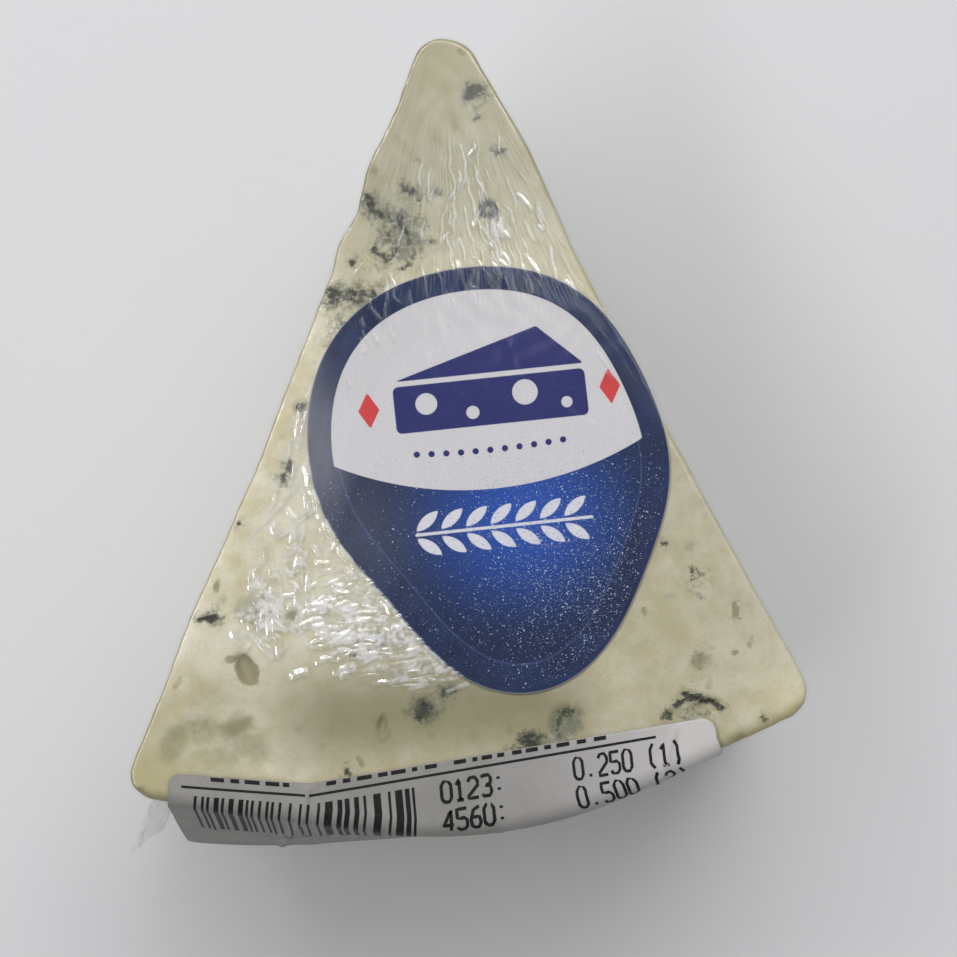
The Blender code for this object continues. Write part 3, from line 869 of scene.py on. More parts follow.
draw = np.random.default_rng(5)
upper_folds = np.vstack([
    fan_folds(14, (13, 7), (14, 30), (1.0, 4), (0.30, 0.40), (0.14, 0.24), 2.0, draw),
    fan_folds(36, (12, 8), (14, 29), (1.5, 7), (0.32, 0.50), (0.10, 0.15), 1.2, draw),
    crumple_folds(12, (3.6, 25.2), (0.8, 2.6), (1.0, 3.6), (-70, 12), (0.28, 0.40), (0.16, 0.3), draw),
    crumple_folds(7, (7.6, 28.6), (0.8, 1.8), (1.0, 3.0), (-64, 8), (0.30, 0.42), (0.16, 0.26), draw),
    crumple_folds(8, (12.0, 22.6), (1.0, 1.6), (1.0, 3.0), (-62, 8), (0.32, 0.44), (0.16, 0.26), draw),
    fan_folds(16, (-7, 8), (16, 30), (1.5, 6), (0.26, 0.42), (0.12, 0.18), 2.0, draw),
    fan_folds(24, (29, 3), (28, 42), (1.5, 6), (0.30, 0.44), (0.16, 0.28), 1.0, draw),
    fan_folds(9, (8, 9), (25, 31), (5, 10), (0.30, 0.45), (0.10, 0.14), 0.4, draw),
    crumple_folds(7, (5.5, 20.2), (5.0, 0.7), (1.0, 2.4), (-72, 8), (0.28, 0.38), (0.14, 0.24), draw),
    crumple_folds(14, (-10.6, 16.6), (2.4, 2.2), (0.8, 2.6), (-74, 10), (0.24, 0.34), (0.14, 0.26), draw),
])
lower_folds = np.vstack([
    crumple_folds(56, (-23.4, -12.6), (1.5, 2.2), (1.0, 3.8), (-84, 20), (0.20, 0.32), (0.22, 0.42), draw),
    crumple_folds(24, (-20.0, -8.0), (1.6, 3.2), (1.2, 4.5), (-82, 12), (0.20, 0.32), (0.18, 0.34), draw),
    crumple_folds(110, (-11.8, -15.6), (4.0, 2.1), (1.2, 6.0), (12, 9), (0.36, 0.52), (0.2, 0.44), draw),
    crumple_folds(60, (-15.0, -12.4), (2.8, 1.9), (1.0, 3.4), (22, 24), (0.36, 0.52), (0.16, 0.36), draw),
    crumple_folds(34, (-7.0, -19.2), (4.4, 1.0), (2.0, 8.0), (8, 4), (0.38, 0.50), (0.12, 0.26), draw),
    fan_folds(60, (-15, 3.2), (34, 58), (1.5, 8), (0.22, 0.32), (0.14, 0.30), 1.4, draw),
    crumple_folds(26, (-16.2, 3.0), (1.8, 5.0), (1.0, 3.4), (-82, 8), (0.22, 0.32), (0.14, 0.28), draw),
])
edge_angle = np.radians([196, 206, 216, 226, 236, 246, 256, 266, 274])
edge_reach = label_radius(edge_angle) / MM + 0.5
edge_spokes = np.column_stack([np.sin(edge_angle), np.cos(edge_angle)]) * edge_reach[:, None]
edge_line = LABEL_CENTRE / MM + edge_spokes
edge_tents = np.column_stack([
    edge_line[1:],
    edge_line[:-1] * 1.08 - edge_line[1:] * 0.08,
    np.full(8, 0.12),
    (0.10, 0.14, 0.16, 0.13, 0.16, 0.17, 0.14, 0.10),
    np.full(8, 0.42),
])
lower_folds = np.vstack([lower_folds, edge_tents])
foot_lines = crumple_folds(
    18, (9.0, -23.5), (9.0, 1.8), (7.0, 18.0), (4, 2), (0.03, 0.07), (0.25, 0.45), draw
)
loose_lines = fan_folds(60, (4, 17), (10, 70), (4, 12), (0.02, 0.06), (0.3, 0.6), 3.0, draw)
soft_folds = np.vstack([foot_lines, loose_lines])

# The label's edge pushes the film out past the right side's rim, and the film runs straight on
# from there to the wall further down
film_outline, film_normal, film_run = plan_outline(FILM_COLUMNS)
film_line = film_outline - film_normal * drawn_in(film_outline, film_normal)[:, None]
to_label = (LABEL_CENTRE + spokes)[None] - film_line[:, None]
outwards = np.einsum("ijk,ik->ij", to_label, film_normal)
sideways = np.abs(np.einsum("ijk,ik->ij", to_label, film_normal[:, ::-1] * [-1, 1]))
overhang = np.where(sideways < EDGE_REACH, outwards + EDGE_STANDOFF, -1).max(axis=1)
overhang = np.where(film_normal[:, 0] > 0.5, np.maximum(overhang, 0), 0)
apart = np.abs(film_run[:, None] - film_run[None])
film_bulge = np.maximum(overhang[None] - EDGE_SLOPE * apart, 0).max(axis=1)

film_grid, film_out = wedge_skin(FILM_COLUMNS, FILM_SHARES, FILM_ROWS, FILM_LIFT, film_bulge)
x, y = film_grid[..., 0] / MM, film_grid[..., 1] / MM
top_share = soft_step((film_out[..., 2] - 0.3) / 0.6)
past_label = -label_edge_distance(film_grid[..., :2]) / MM


def film_rise_at(x, y, past_label):
    """Height in mm of the smooth film over its level: a low tent over the label, and slow rolls."""
    around = np.degrees(np.arctan2(x - LABEL_CENTRE[0] / MM, y - LABEL_CENTRE[1] / MM))
    tent_width = 1.6 + 0.8 * np.exp(-(((around + 125) / 40) ** 2))
    tent = np.clip(1 - np.maximum(past_label - 0.1, 0) / tent_width, 0, 1) ** 1.5
    rolls = 0.008 * np.sin(x * 1.6 + 1.5 * np.sin(y * 0.7)) * np.cos(y * 1.3 + np.sin(x * 0.9))
    return rolls + FILM_OVER_LABEL / MM * tent


top_rise = film_rise_at(x, y, past_label) + fold_height(x, y, soft_folds)

# Down the walls the film is pulled under the wedge in long upright folds
wall_run = np.broadcast_to(film_run / MM, x.shape)
film_level = film_grid[..., 2] / MM
foot_place = draw.uniform(0, film_run.max() / MM, WALL_FOLDS)
wall_folds = np.column_stack([
    foot_place,
    np.zeros(WALL_FOLDS),
    foot_place + draw.normal(0, 3.5, WALL_FOLDS),
    draw.uniform(8, 42, WALL_FOLDS),
    draw.normal(0, 0.6, WALL_FOLDS),
    draw.uniform(0.04, 0.16, WALL_FOLDS),
    draw.uniform(0.5, 1.1, WALL_FOLDS),
])
corner_place = np.repeat(film_run[CORNER_COLUMNS] / MM, CORNER_FOLDS)
corner_count = len(corner_place)
corner_pull = np.column_stack([
    corner_place + draw.normal(0, 5, corner_count),
    draw.uniform(2, 20, corner_count),
    corner_place + draw.normal(0, 2, corner_count),
    draw.uniform(30, 45, corner_count),
    draw.normal(0, 0.5, corner_count),
    draw.uniform(0.05, 0.14, corner_count),
    draw.uniform(0.4, 0.8, corner_count),
])
wall_rise = fold_height(wall_run, film_level, np.vstack([wall_folds, corner_pull]))
film_wall = soft_step(1.25 - np.abs(film_out[..., 2]) * 1.6) * soft_step(film_level / 1.5)
film_rise = top_rise * top_share + wall_rise * film_wall
film_grid = film_grid + film_out * (film_rise * MM)[..., None]

film_mesh = round_skin_mesh("cling_film", film_grid + plan_shift)
spoke_x, spoke_y = x - FAN_HEAD[0], FAN_HEAD[1] - y
is_top = film_out[..., 2] > 0.5
pull_across = np.where(is_top, np.arctan2(spoke_x, spoke_y) * FAN_ARC, wall_run)
pull_along = np.where(is_top, np.hypot(spoke_x, spoke_y), film_level)
over_label = soft_step((0.2 - past_label) / 0.6)


def patches(x, y, *ovals):
    """Soft ovals on the top face: centre and reach in mm along X and Y, and strength."""
    field = np.zeros_like(x)
    for cx, cy, reach_x, reach_y, strength in ovals:
        field = np.maximum(field, strength * np.exp(-(((x - cx) / reach_x) ** 2) - ((y - cy) / reach_y) ** 2))
    return field


pulled = patches(x, y, *PULLED) * soft_step((film_out[..., 2] - 0.6) / 0.3) * (1 - 0.7 * over_label)
pulled = np.maximum(pulled, 0.3 * film_wall * (film_out[..., 2] < 0.6))
bloom = patches(x, y, *BLOOMED) * top_share
# Round the upper rim the film lies so close that hardly any of it shows
round_rim = soft_step((0.985 - film_out[..., 2]) / 0.05) * soft_step((film_level - 36) / 7)
shown = 1 - 0.88 * round_rim
give_skin(film_mesh, pull_across=pull_across, pull_along=pull_along, pulled=pulled, bloom=bloom, shown=shown)


def mixed(tree, share, first, second):
    """Shader that goes from the first to the second by a share from 0 to 1."""
    return node(tree, "ShaderNodeMixShader", {0: share, 1: first, 2: second}).outputs[0]


def film_shell(tree, output, bump, haze, roughness, gloss, held=1.0):
    """Clear skin: see-through, with a mirror share from Fresnel and a thin white haze.

    Held is how much of both is there at all, for a layer that fades out at its edges.
    """
    mirror_share = node(tree, "ShaderNodeFresnel", {"IOR": 1.5, "Normal": bump}).outputs[0]
    mirror_share = calc(tree, "MINIMUM", calc(tree, "MULTIPLY", mirror_share, gloss), MIRROR_MOST)
    clear = node(tree, "ShaderNodeBsdfTransparent", {"Color": (0.985, 0.985, 0.98, 1)}).outputs[0]
    mirror = node(tree, "ShaderNodeBsdfPrincipled", {
        "Base Color": (1, 1, 1, 1), "Metallic": 1.0, "Roughness": roughness, "Normal": bump,
    }).outputs[0]
    mirror_share = calc(tree, "MULTIPLY", mirror_share, held)
    milk = node(tree, "ShaderNodeBsdfDiffuse", {"Color": paint(240, 240, 242), "Normal": bump}).outputs[0]
    shiny = mixed(tree, mirror_share, clear, mirror)
    whole = mixed(tree, calc(tree, "MULTIPLY", haze, held), shiny, milk)
    tree.links.new(whole, output.inputs["Surface"])


def ridges(tree, place, scale, sharp):
    """Thin crooked crests: 1 where the noise crosses its middle, falling to 0 beside it."""
    off_middle = calc(tree, "ABSOLUTE", calc(tree, "SUBTRACT", grain(tree, place, scale, 1.0, 0.5), 0.5))
    return between(tree, off_middle, sharp, 0.0)


film_finish, tree, output = new_finish("clear_cling_film")
fan = node(tree, "ShaderNodeCombineXYZ", {
    "X": calc(tree, "MULTIPLY", stored(tree, "pull_across"), MM),
    "Y": calc(tree, "MULTIPLY", stored(tree, "pull_along"), THREAD_SHARE * MM),
}).outputs[0]
drawn_tight = calc(tree, "ADD", stored(tree, "pulled"), 0.05)
threads = raised(tree, calc(tree, "MULTIPLY", ridges(tree, fan, 1100, 0.10), drawn_tight), 1.0, 0.03 * MM)
haze = between(tree, grain(tree, fan, 900, 1, 0.6), 0.4, 0.7, 0.02, 0.12)
haze = calc(tree, "ADD", calc(tree, "MULTIPLY", stored(tree, "pulled"), haze), stored(tree, "bloom"))
film_shell(tree, output, threads, haze, 0.1, 1.1, stored(tree, "shown"))
show("cling_film", film_mesh, film_finish, "wrapped_cheese", "wrapped_cheese")


# Crumpled film: above the label and below its left side the film lies in sharp folds that
# catch the light. Both places are a second layer of the same film, so fine that each fold
# has its own flanks, and fade out into the plain film round them.

CRUMPLE_LIFT = 0.02
CRUMPLE_STEP = 0.095
CRUMPLE_MARGIN = 0.9
COARSE = 4

# Each area: its name, its left, low, right and high side, how far it reaches onto the label in
# mm, how much of its folds is left there, and the folds
CRUMPLED_AREAS = (
    ("crumpled_film_above", (-17.0, 9.0, 24.0, 42.5), 6.5, 1, upper_folds),
    ("crumpled_film_below", (-32.0, -23.5, 2.0, 9.0), 1.5, 0, lower_folds),
)
# Where it is crumpled all over and looks whiter: centre and reach in mm along X and Y, and strength
CRUMPLED = (
    (-23.6, -12.8, 3.2, 3.6, 1.0),
    (-20.0, -8.0, 2.5, 4.0, 0.8),
    (-12.0, -15.6, 7.5, 3.6, 1.0),
    (-15.5, -12.0, 4.5, 3.5, 0.9),
    (-6.0, -19.6, 6.0, 2.0, 0.6),
)


def distance_inside(points, edge):
    """Distance of plan points from a closed line of points, below 0 outside it.

    A point is inside when a ray from it towards +X crosses the line an odd number of times.
    """
    flat = points.reshape(-1, 2)
    near = distance_to_line(flat, edge)
    inside = np.zeros(len(flat), bool)
    for a, b in zip(edge, np.roll(edge, -1, axis=0)):
        spans = (a[1] > flat[:, 1]) != (b[1] > flat[:, 1])
        if spans.any():
            inside ^= spans & (flat[:, 0] < a[0] + (flat[:, 1] - a[1]) * (b[0] - a[0]) / (b[1] - a[1]))
    return np.where(inside, near, -near).reshape(points.shape[:-1])


def grid_quads(rows, columns):
    """Point numbers of the faces of an open grid of points."""
    i, j = np.meshgrid(np.arange(rows - 1), np.arange(columns - 1), indexing="ij")
    first = i * columns + j
    return np.stack([first, first + columns, first + columns + 1, first + 1], axis=-1).reshape(-1, 4)


def finer(field, factor):
    """A field on a coarse grid, filled in evenly between its rows and its columns."""
    for axis in (0, 1):
        last = field.shape[axis] - 1
        place = np.arange(last * factor + 1) / factor
        low = np.minimum(place.astype(int), last - 1)
        share = place - low
        if axis == 0:
            share = share[:, None]
        field = np.take(field, low, axis) * (1 - share) + np.take(field, low + 1, axis) * share
    return field


crumple_finish, tree, output = new_finish("crumpled_film")
place = object_place(tree)
ruck = grain(tree, place, 700, 2, 0.7)
facing = node(tree, "ShaderNodeNewGeometry").outputs["Normal"]
haze = calc(tree, "MULTIPLY", stored(tree, "haze"), between(tree, ruck, 0.36, 0.62, 0.12, 1.0))
film_shell(tree, output, facing, haze, 0.11, 3.0, stored(tree, "held"))

top_edge = film_line[::4] / MM
coarse_step = COARSE * CRUMPLE_STEP
for name, (left, low, right, high), label_reach, label_share, folds in CRUMPLED_AREAS:
    across, down = np.meshgrid(np.arange(left, right, coarse_step), np.arange(high, low, -coarse_step))
    coarse_plan = np.dstack([across, down])
    inside, past = distance_inside(coarse_plan, top_edge), -label_edge_distance(coarse_plan * MM) / MM
    across, down, inside, past = (finer(field, COARSE) for field in (across, down, inside, past))
    to_border = np.minimum.reduce([
        across - left, right - across, down - low, high - down, inside - CRUMPLE_MARGIN, past + label_reach,
    ])
    fade = soft_step(to_border / 1.6)
    rough = np.maximum(patches(across, down, *CRUMPLED), 0.3 * patches(across, down, *PULLED))
    over = soft_step((0.2 - past) / 0.6)
    near_area = to_border > -0.3
    rise = np.zeros_like(across)
    rise[near_area] = fold_height(*wandering(across[near_area], down[near_area], 0.09), folds, sharp=True)
    # The film is smooth right over the mould ring
    off_ring = 1 - 0.9 * np.exp(-((np.hypot(across - ring_x, down - ring_y) / 1.5) ** 4))
    rise *= (1 - over * (1 - label_share)) * fade * off_ring
    level = (rise + film_rise_at(across, down, past) + CRUMPLE_LIFT) * MM
    grid = np.dstack([across * MM, down * MM, THICKNESS + FILM_LIFT + level]) + plan_shift
    quads = grid_quads(*across.shape)
    quads = quads[(to_border.ravel()[quads] > 0).all(axis=1)]
    kept, numbers = np.unique(quads, return_inverse=True)
    mesh = mesh_of(name, grid.reshape(-1, 3)[kept], numbers.reshape(-1, 4))
    on_fold = np.minimum(rise / 0.012, 1) * (1 - 0.6 * over)
    give(mesh, "held", (fade * np.maximum(0.25 * (1 - over), on_fold)).ravel()[kept])
    crest = np.minimum(rise / 0.03, 1)
    milkiness = 0.42 * rough * (1 - 0.85 * over) + 0.2 * crest * (1 - 0.3 * over)
    give(mesh, "haze", milkiness.ravel()[kept])
    show(name, mesh, crumple_finish, "wrapped_cheese")


# The price sticker: a sheet of white thermal paper stuck on the film by its upper edge, folded
# over the rind, its left part standing off the wall below the fold.

STICKER_SHEET = 0.12 * MM
STICKER_HEIGHT = 30 * MM
STICKER_CORNER = 1.6 * MM
STICKER_TOP = np.array([(-34.1, -28.9), (-19.2, -30.8), (23.2, -26.2)]) * MM
STICKER_FOLD = np.array([-34.0, -19.6, 23.8]) * MM
STICKER_FLARE = math.radians(11)
STICKER_LOOSE = 35 * MM
STICKER_COLUMNS = 300
STICKER_ROWS = 120

# Low creases down the sheet: place across in mm, how far they lean for each mm down, height and width
STICKER_CREASES = (
    (14.4, -0.12, 0.26, 0.4),
    (34.6, 0.01, 0.08, 0.3),
    (55.2, -0.5, 0.14, 0.35),
    (8.4, 0.2, 0.06, 0.8),
)

rind_line = fine_outline - fine_normal * drawn_in(fine_outline, fine_normal)[:, None]
on_rind_line = (fine_normal[:, 1] < 0) & (np.abs(fine_normal[:, 0]) < 0.8)
rind_line, rind_normal = rind_line[on_rind_line], fine_normal[on_rind_line]
rind_run = np.concatenate([[0], np.cumsum(np.linalg.norm(np.diff(rind_line, axis=0), axis=1))])
fold_left, fold_kink, fold_right = np.interp(STICKER_FOLD, rind_line[:, 0], rind_run)
STICKER_WIDTH = fold_right - fold_left


def along_line(place, run, line):
    """Points of a line at distances along it, given the distances of its own points."""
    return np.stack([np.interp(place, run, line[:, i]) for i in (0, 1)], axis=-1)


def on_sticker(across, down, lift):
    """Points of the sheet by distance across from its left end and down from its top edge.

    The sheet is straight over the top face, makes a quarter turn round the rim, then hangs
    down the wall and away from it by the flare, which fades to nothing towards the right.
    """
    fold = along_line(across + fold_left, rind_run, rind_line)
    normal = unit(along_line(across + fold_left, rind_run, rind_normal))
    top = along_line(across, [0, fold_kink - fold_left, STICKER_WIDTH], STICKER_TOP)
    start = fold - normal * RIM_RADIUS
    flat_length = np.linalg.norm(start - top, axis=-1)
    radius = RIM_RADIUS + GAP
    turn = np.clip((down - flat_length) / radius, 0, math.pi / 2)
    drop = np.maximum(down - flat_length - radius * math.pi / 2, 0)
    flat = np.clip(down / flat_length, 0, 1)
    level = THICKNESS - RIM_RADIUS + radius * np.cos(turn) - drop
    flare = math.tan(STICKER_FLARE) * np.clip(1 - across / STICKER_LOOSE, 0, 1) ** 0.7
    curl = 0.35 * MM * np.sin(across / (6.5 * MM) + 0.6) * soft_step(drop / (16 * MM))
    stand = np.maximum(wall_wave(fold, level), 0) + flare * drop + curl * (flare > 0.02)
    crease = np.zeros_like(across)
    for place, lean, height, width in STICKER_CREASES:
        off = across / MM - place - lean * down / MM
        crease += height * MM * np.exp(-((off / width) ** 2)) * soft_step(down / (0.8 * MM))
    lift = lift + crease
    plan = top + (start - top) * flat[..., None]
    plan = plan + normal * (radius * np.sin(turn) + stand * (drop > 0) + lift * np.sin(turn))[..., None]
    return np.dstack([plan, level + lift * np.cos(turn)])


def top_trim(across):
    """How far the sheet's rounded upper corners start below its top edge."""
    to_end = np.clip(np.minimum(across, STICKER_WIDTH - across), 0, STICKER_CORNER)
    return STICKER_CORNER - np.sqrt(STICKER_CORNER**2 - (STICKER_CORNER - to_end) ** 2)


def open_sheet_mesh(name, grid, uv):
    """Mesh of an open grid of points, with its own flat coordinates as a UV map."""
    quads = grid_quads(*grid.shape[:2])
    mesh = mesh_of(name, grid.reshape(-1, 3), quads)
    corner_uv = uv.reshape(-1, 2)[quads.ravel()].astype(np.float32)
    mesh.uv_layers.new(name="sheet").data.foreach_set("uv", corner_uv.ravel())
    return mesh


# Columns lie closer together at both ends, where the corners are round
swing = (1 - np.cos(np.linspace(0, math.pi, STICKER_COLUMNS))) / 2
even = np.linspace(0, 1, STICKER_COLUMNS)
columns_across = STICKER_WIDTH * (0.25 * swing + 0.75 * even)
trim = top_trim(columns_across)
part = np.linspace(0, 1, STICKER_ROWS)[:, None]
down = trim + (STICKER_HEIGHT - 2 * trim) * part
across = np.broadcast_to(columns_across, down.shape)
sticker_grid = on_sticker(across, down, 0.0) + plan_shift
sticker_mesh = open_sheet_mesh("price_sticker_sheet", sticker_grid, np.dstack([across, down]) / STICKER_WIDTH)

sticker_finish, tree, output = new_finish("thermal_paper")
place = object_place(tree)
sheet = node(tree, "ShaderNodeUVMap", uv_map="sheet").outputs[0]
pulp = grain(tree, place, 2600, 4, 0.6)
shade = grain(tree, place, 210, 3, 0.5)
# Painted shade: the white paper is painted grey, and lighter towards its right end where less shade falls on
# it
colour = layer(tree, between(tree, shade, 0.3, 0.7), paint(128, 126, 122), paint(138, 136, 132))
colour = layer(tree, between(tree, pulp, 0.35, 0.75, 0.0, 0.3), colour, paint(118, 116, 112))
across_sheet = node(tree, "ShaderNodeSeparateXYZ", {0: sheet}).outputs[0]
colour = layer(tree, between(tree, across_sheet, 0.62, 0.96, 0.0, 0.9), colour, paint(190, 187, 185))
panel_left = between(tree, across_sheet, 0.583, 0.585)
panel = calc(tree, "MULTIPLY", panel_left, between(tree, across_sheet, 0.93, 0.925))
colour = layer(tree, calc(tree, "MULTIPLY", panel, 0.3), colour, paint(156, 153, 154))
pulp_relief = raised(tree, pulp, 0.3, 0.05 * MM)
opaque(tree, output, colour, between(tree, pulp, 0.2, 0.8, 0.5, 0.68), 0.4, pulp_relief)
price_sticker = show("price_sticker_sheet", sticker_mesh, sticker_finish, "price_sticker", "price_sticker")
body = price_sticker.modifiers.new("paper", "SOLIDIFY")
body.thickness = STICKER_SHEET
body.offset = 1.0

# The sticker's print: black thermal ink as thin strips on the paper. The bars, dashes and
# numbers are made up.

INK_LIFT = STICKER_SHEET + 0.035 * MM
BAR_WIDTHS = (0.27, 0.27, 0.5, 0.5, 0.8)
BAR_FIELD = (2.7, 26.6)
BAR_TOP = 2.15

# Pen strokes of each number and sign, in shares of its width and height from its lower left
DIGIT_PATHS = {
    "0": [[(0.25, 0), (0, 0.2), (0, 0.8), (0.25, 1), (0.75, 1), (1, 0.8), (1, 0.2), (0.75, 0), (0.25, 0)]],
    "1": [[(0.15, 0.75), (0.5, 1), (0.5, 0)], [(0.15, 0), (0.85, 0)]],
    "2": [[(0, 0.82), (0.25, 1), (0.75, 1), (1, 0.8), (1, 0.6), (0, 0.12), (0, 0), (1, 0)]],
    "3": [[
        (0, 0.95), (0.3, 1), (0.8, 1), (1, 0.8), (0.9, 0.58), (0.4, 0.52),
        (0.9, 0.46), (1, 0.2), (0.8, 0), (0.2, 0), (0, 0.1),
    ]],
    "4": [[(0.75, 0), (0.75, 1), (0, 0.3), (1, 0.3)]],
    "5": [[(1, 1), (0, 1), (0, 0.55), (0.75, 0.55), (1, 0.4), (1, 0.15), (0.75, 0), (0.2, 0), (0, 0.15)]],
    "6": [[
        (0.9, 1), (0.3, 0.85), (0, 0.4), (0.1, 0.1), (0.4, 0), (0.8, 0), (1, 0.25), (0.85, 0.5), (0.2, 0.5),
    ]],
    ":": [[(0.4, 0.18), (0.4, 0.3)], [(0.4, 0.72), (0.4, 0.84)]],
    "(": [[(0.7, 1.08), (0.35, 0.8), (0.35, 0.2), (0.7, -0.08)]],
    ")": [[(0.3, 1.08), (0.65, 0.8), (0.65, 0.2), (0.3, -0.08)]],
    ".": [[(0.42, 0.03), (0.42, 0.16)]],
    " ": [],
}


def ink_strip(path, width):
    """Left and right edge of a pen stroke along a path, in mm across and down, with close points."""
    path = np.array(path, float)
    run = np.concatenate([[0], np.cumsum(np.hypot(*np.diff(path, axis=0).T))])
    fine = np.unique(np.concatenate([run, np.linspace(0, run[-1], max(2, int(run[-1] / 0.35)))]))
    line = np.column_stack([np.interp(fine, run, path[:, i]) for i in (0, 1)])
    heading = unit(np.gradient(line, fine, axis=0))
    aside = np.column_stack([-heading[:, 1], heading[:, 0]]) * width / 2
    return np.stack([line - aside, line + aside], axis=1)


def written(text, left, top, size, step):
    """Pen strokes of a row of numbers, its first one at left and top, in mm."""
    strokes = []
    for i, letter in enumerate(text):
        for path in DIGIT_PATHS[letter]:
            strokes.append([(left + i * step + p * size[0], top + (1 - q) * size[1]) for p, q in path])
    return strokes


draw = np.random.default_rng(23)
strips = []
bar, bars_end = BAR_FIELD
while bar < bars_end:
    thick = draw.choice(BAR_WIDTHS)
    lean = 0.0 if bar < 14 else 0.045 * min((bar - 14) / 3, 1)
    foot = 15.6 if draw.uniform() < 0.8 else 16.4
    bar_middle = bar + thick / 2
    strips.append(ink_strip([(bar_middle + lean, BAR_TOP), (bar_middle + 12 * lean * 0.3, foot)], thick))
    bar += thick + draw.choice(BAR_WIDTHS)
strips.append(ink_strip([(1.4, 1.3), (14.2, 1.25)], 0.26))
strips.append(ink_strip([(14.6, 1.25), (52.6, 1.1)], 0.26))
dash = 4.6
while dash < 47:
    long = draw.uniform(0.5, 1.6)
    if draw.uniform() < 0.85 and not 13.6 < dash < 14.9:
        strips.append(ink_strip([(dash, 0.3), (dash + long, 0.3)], 0.42))
    dash += long + draw.uniform(0.3, 0.9)
for top, left_number, right_number in ((2.0, "0123:", "0.250 (1)"), (5.0, "4560:", "0.500 (2)")):
    for stroke in written(left_number, 28.8, top + 0.1, (1.05, 2.1), 1.45):
        strips.append(ink_strip(stroke, 0.36))
    for stroke in written(right_number, 43.3, top - 0.1, (0.95, 2.2), 1.36):
        strips.append(ink_strip(stroke, 0.32))
for stroke in written("250465", 11.6, 16.9, (1.0, 1.6), 2.0):
    strips.append(ink_strip(stroke, 0.16))

ink_points, ink_quads, used = [], [], 0
for strip in strips:
    placed = on_sticker(strip[..., 0] * MM, strip[..., 1] * MM, INK_LIFT) + plan_shift
    count = len(strip)
    first = used + 2 * np.arange(count - 1)
    ink_quads.append(np.column_stack([first, first + 1, first + 3, first + 2]))
    ink_points.append(placed.reshape(-1, 3))
    used += 2 * count
ink_mesh = mesh_of("sticker_print", np.concatenate(ink_points), np.concatenate(ink_quads))
ink_finish, tree, output = new_finish("thermal_ink")
place = object_place(tree)
worn = grain(tree, place, 5200, 3, 0.6)
ink = layer(tree, between(tree, worn, 0.5, 0.8), paint(17, 16, 18), paint(60, 58, 60))
opaque(tree, output, ink, between(tree, worn, 0.2, 0.8, 0.5, 0.65), 0.2)
show("sticker_print", ink_mesh, ink_finish, "price_sticker")


# The ear: a loose crumpled end of the film that stands out from the left corner's wall. It is
# the same clear film, bunched where it goes under the wrap and free at its outer edge.

EAR_FOOT = 20 * MM
EAR_HEAD = 41 * MM
EAR_REACH = 6.5 * MM
EAR_WAVE = 0.7 * MM
EAR_SHEET = 0.06 * MM
EAR_DIRECTION = math.radians(245)
EAR_ROWS = 90
EAR_COLUMNS = 36

ear_outward = np.array([math.cos(EAR_DIRECTION), math.sin(EAR_DIRECTION)])
ear_sideways = np.array([-ear_outward[1], ear_outward[0]])
ear_root = fine_outline[np.argmax(fine_normal @ ear_outward)] + ear_outward * (FILM_LIFT + WALL_WAVE)
up, out = np.meshgrid(np.linspace(0, 1, EAR_ROWS), np.linspace(0, 1, EAR_COLUMNS), indexing="ij")
swell = 0.35 + 0.65 * np.clip(np.sin(math.pi * up), 0, 1) ** 0.7
reach = EAR_REACH * swell * (1 + 0.05 * np.sin(23 * up) * out)
wave = EAR_WAVE * out * np.sin(5.5 * up + 2.2 * out)
wave += 0.22 * MM * out * np.sin(19 * up + 5 * out + 2 * np.sin(7 * out))
wave += 0.1 * MM * out * np.sin(41 * up - 9 * out)
ear_plan = ear_root + ear_outward * (reach * out)[..., None] + ear_sideways * wave[..., None]
ear_grid = np.dstack([ear_plan, EAR_FOOT + (EAR_HEAD - EAR_FOOT) * up]) + plan_shift
ear_mesh = open_sheet_mesh("film_ear_sheet", ear_grid, np.dstack([out, up]))
ear_finish, tree, output = new_finish("loose_film")
place = object_place(tree)
ruck = grain(tree, place, 900, 3, 0.6)
ruck_relief = raised(tree, ruck, 0.8, 0.15 * MM)
film_shell(tree, output, ruck_relief, between(tree, ruck, 0.3, 0.7, 0.0, 0.05), 0.1, 0.4)
film_ear = show("film_ear_sheet", ear_mesh, ear_finish, "film_ear", "film_ear")
body = film_ear.modifiers.new("film", "SOLIDIFY")
body.thickness = EAR_SHEET
body.offset = 0.0


# Condensation: fine drops of water on the cold film, thickest over the lower right of the
# label. Each is a low clear dome with a slightly cloudy look.

DROP_COUNT = 8000
DROP_SIDES = 5

# In mm: the two corners of the area, the usual, least and greatest radius, and how far drops
# keep from the label's edge
DROP_AREA = ((-20, -27), (24, 8))
DROP_RADIUS = 0.036
DROP_RADII = (0.02, 0.16)
EDGE_FREE = 0.5

# In shares of a drop's radius: each ring's radius and height, and the height of its crown
DROP_RINGS = ((1.0, -0.12), (0.66, 0.38))
DROP_CROWN = 0.55

draw = np.random.default_rng(41)
tries = draw.uniform(*DROP_AREA, (DROP_COUNT * 6, 2))
inside = label_edge_distance(tries * MM) / MM
dense = np.exp(-(((tries[:, 0] - 9) / 9) ** 2) - ((tries[:, 1] + 9) / 10) ** 2)
chance = np.where(inside > -0.3, 0.10 + dense, 0.12 * dense) * soft_step((5 - tries[:, 1]) / 6)
tries = tries[draw.uniform(0, 1, len(tries)) < chance][:DROP_COUNT]
size = np.clip(draw.lognormal(math.log(DROP_RADIUS), 0.45, len(tries)), *DROP_RADII)
inside = label_edge_distance(tries * MM) / MM
off_edge = np.abs(inside) > EDGE_FREE
tries, size, inside = tries[off_edge], size[off_edge], inside[off_edge]
level = THICKNESS / MM + FILM_LIFT / MM + np.where(inside > 0, FILM_OVER_LABEL / MM, 0) + 0.004
turn = np.linspace(0, 2 * math.pi, DROP_SIDES, endpoint=False)
ring_shape = np.column_stack([np.cos(turn), np.sin(turn)])
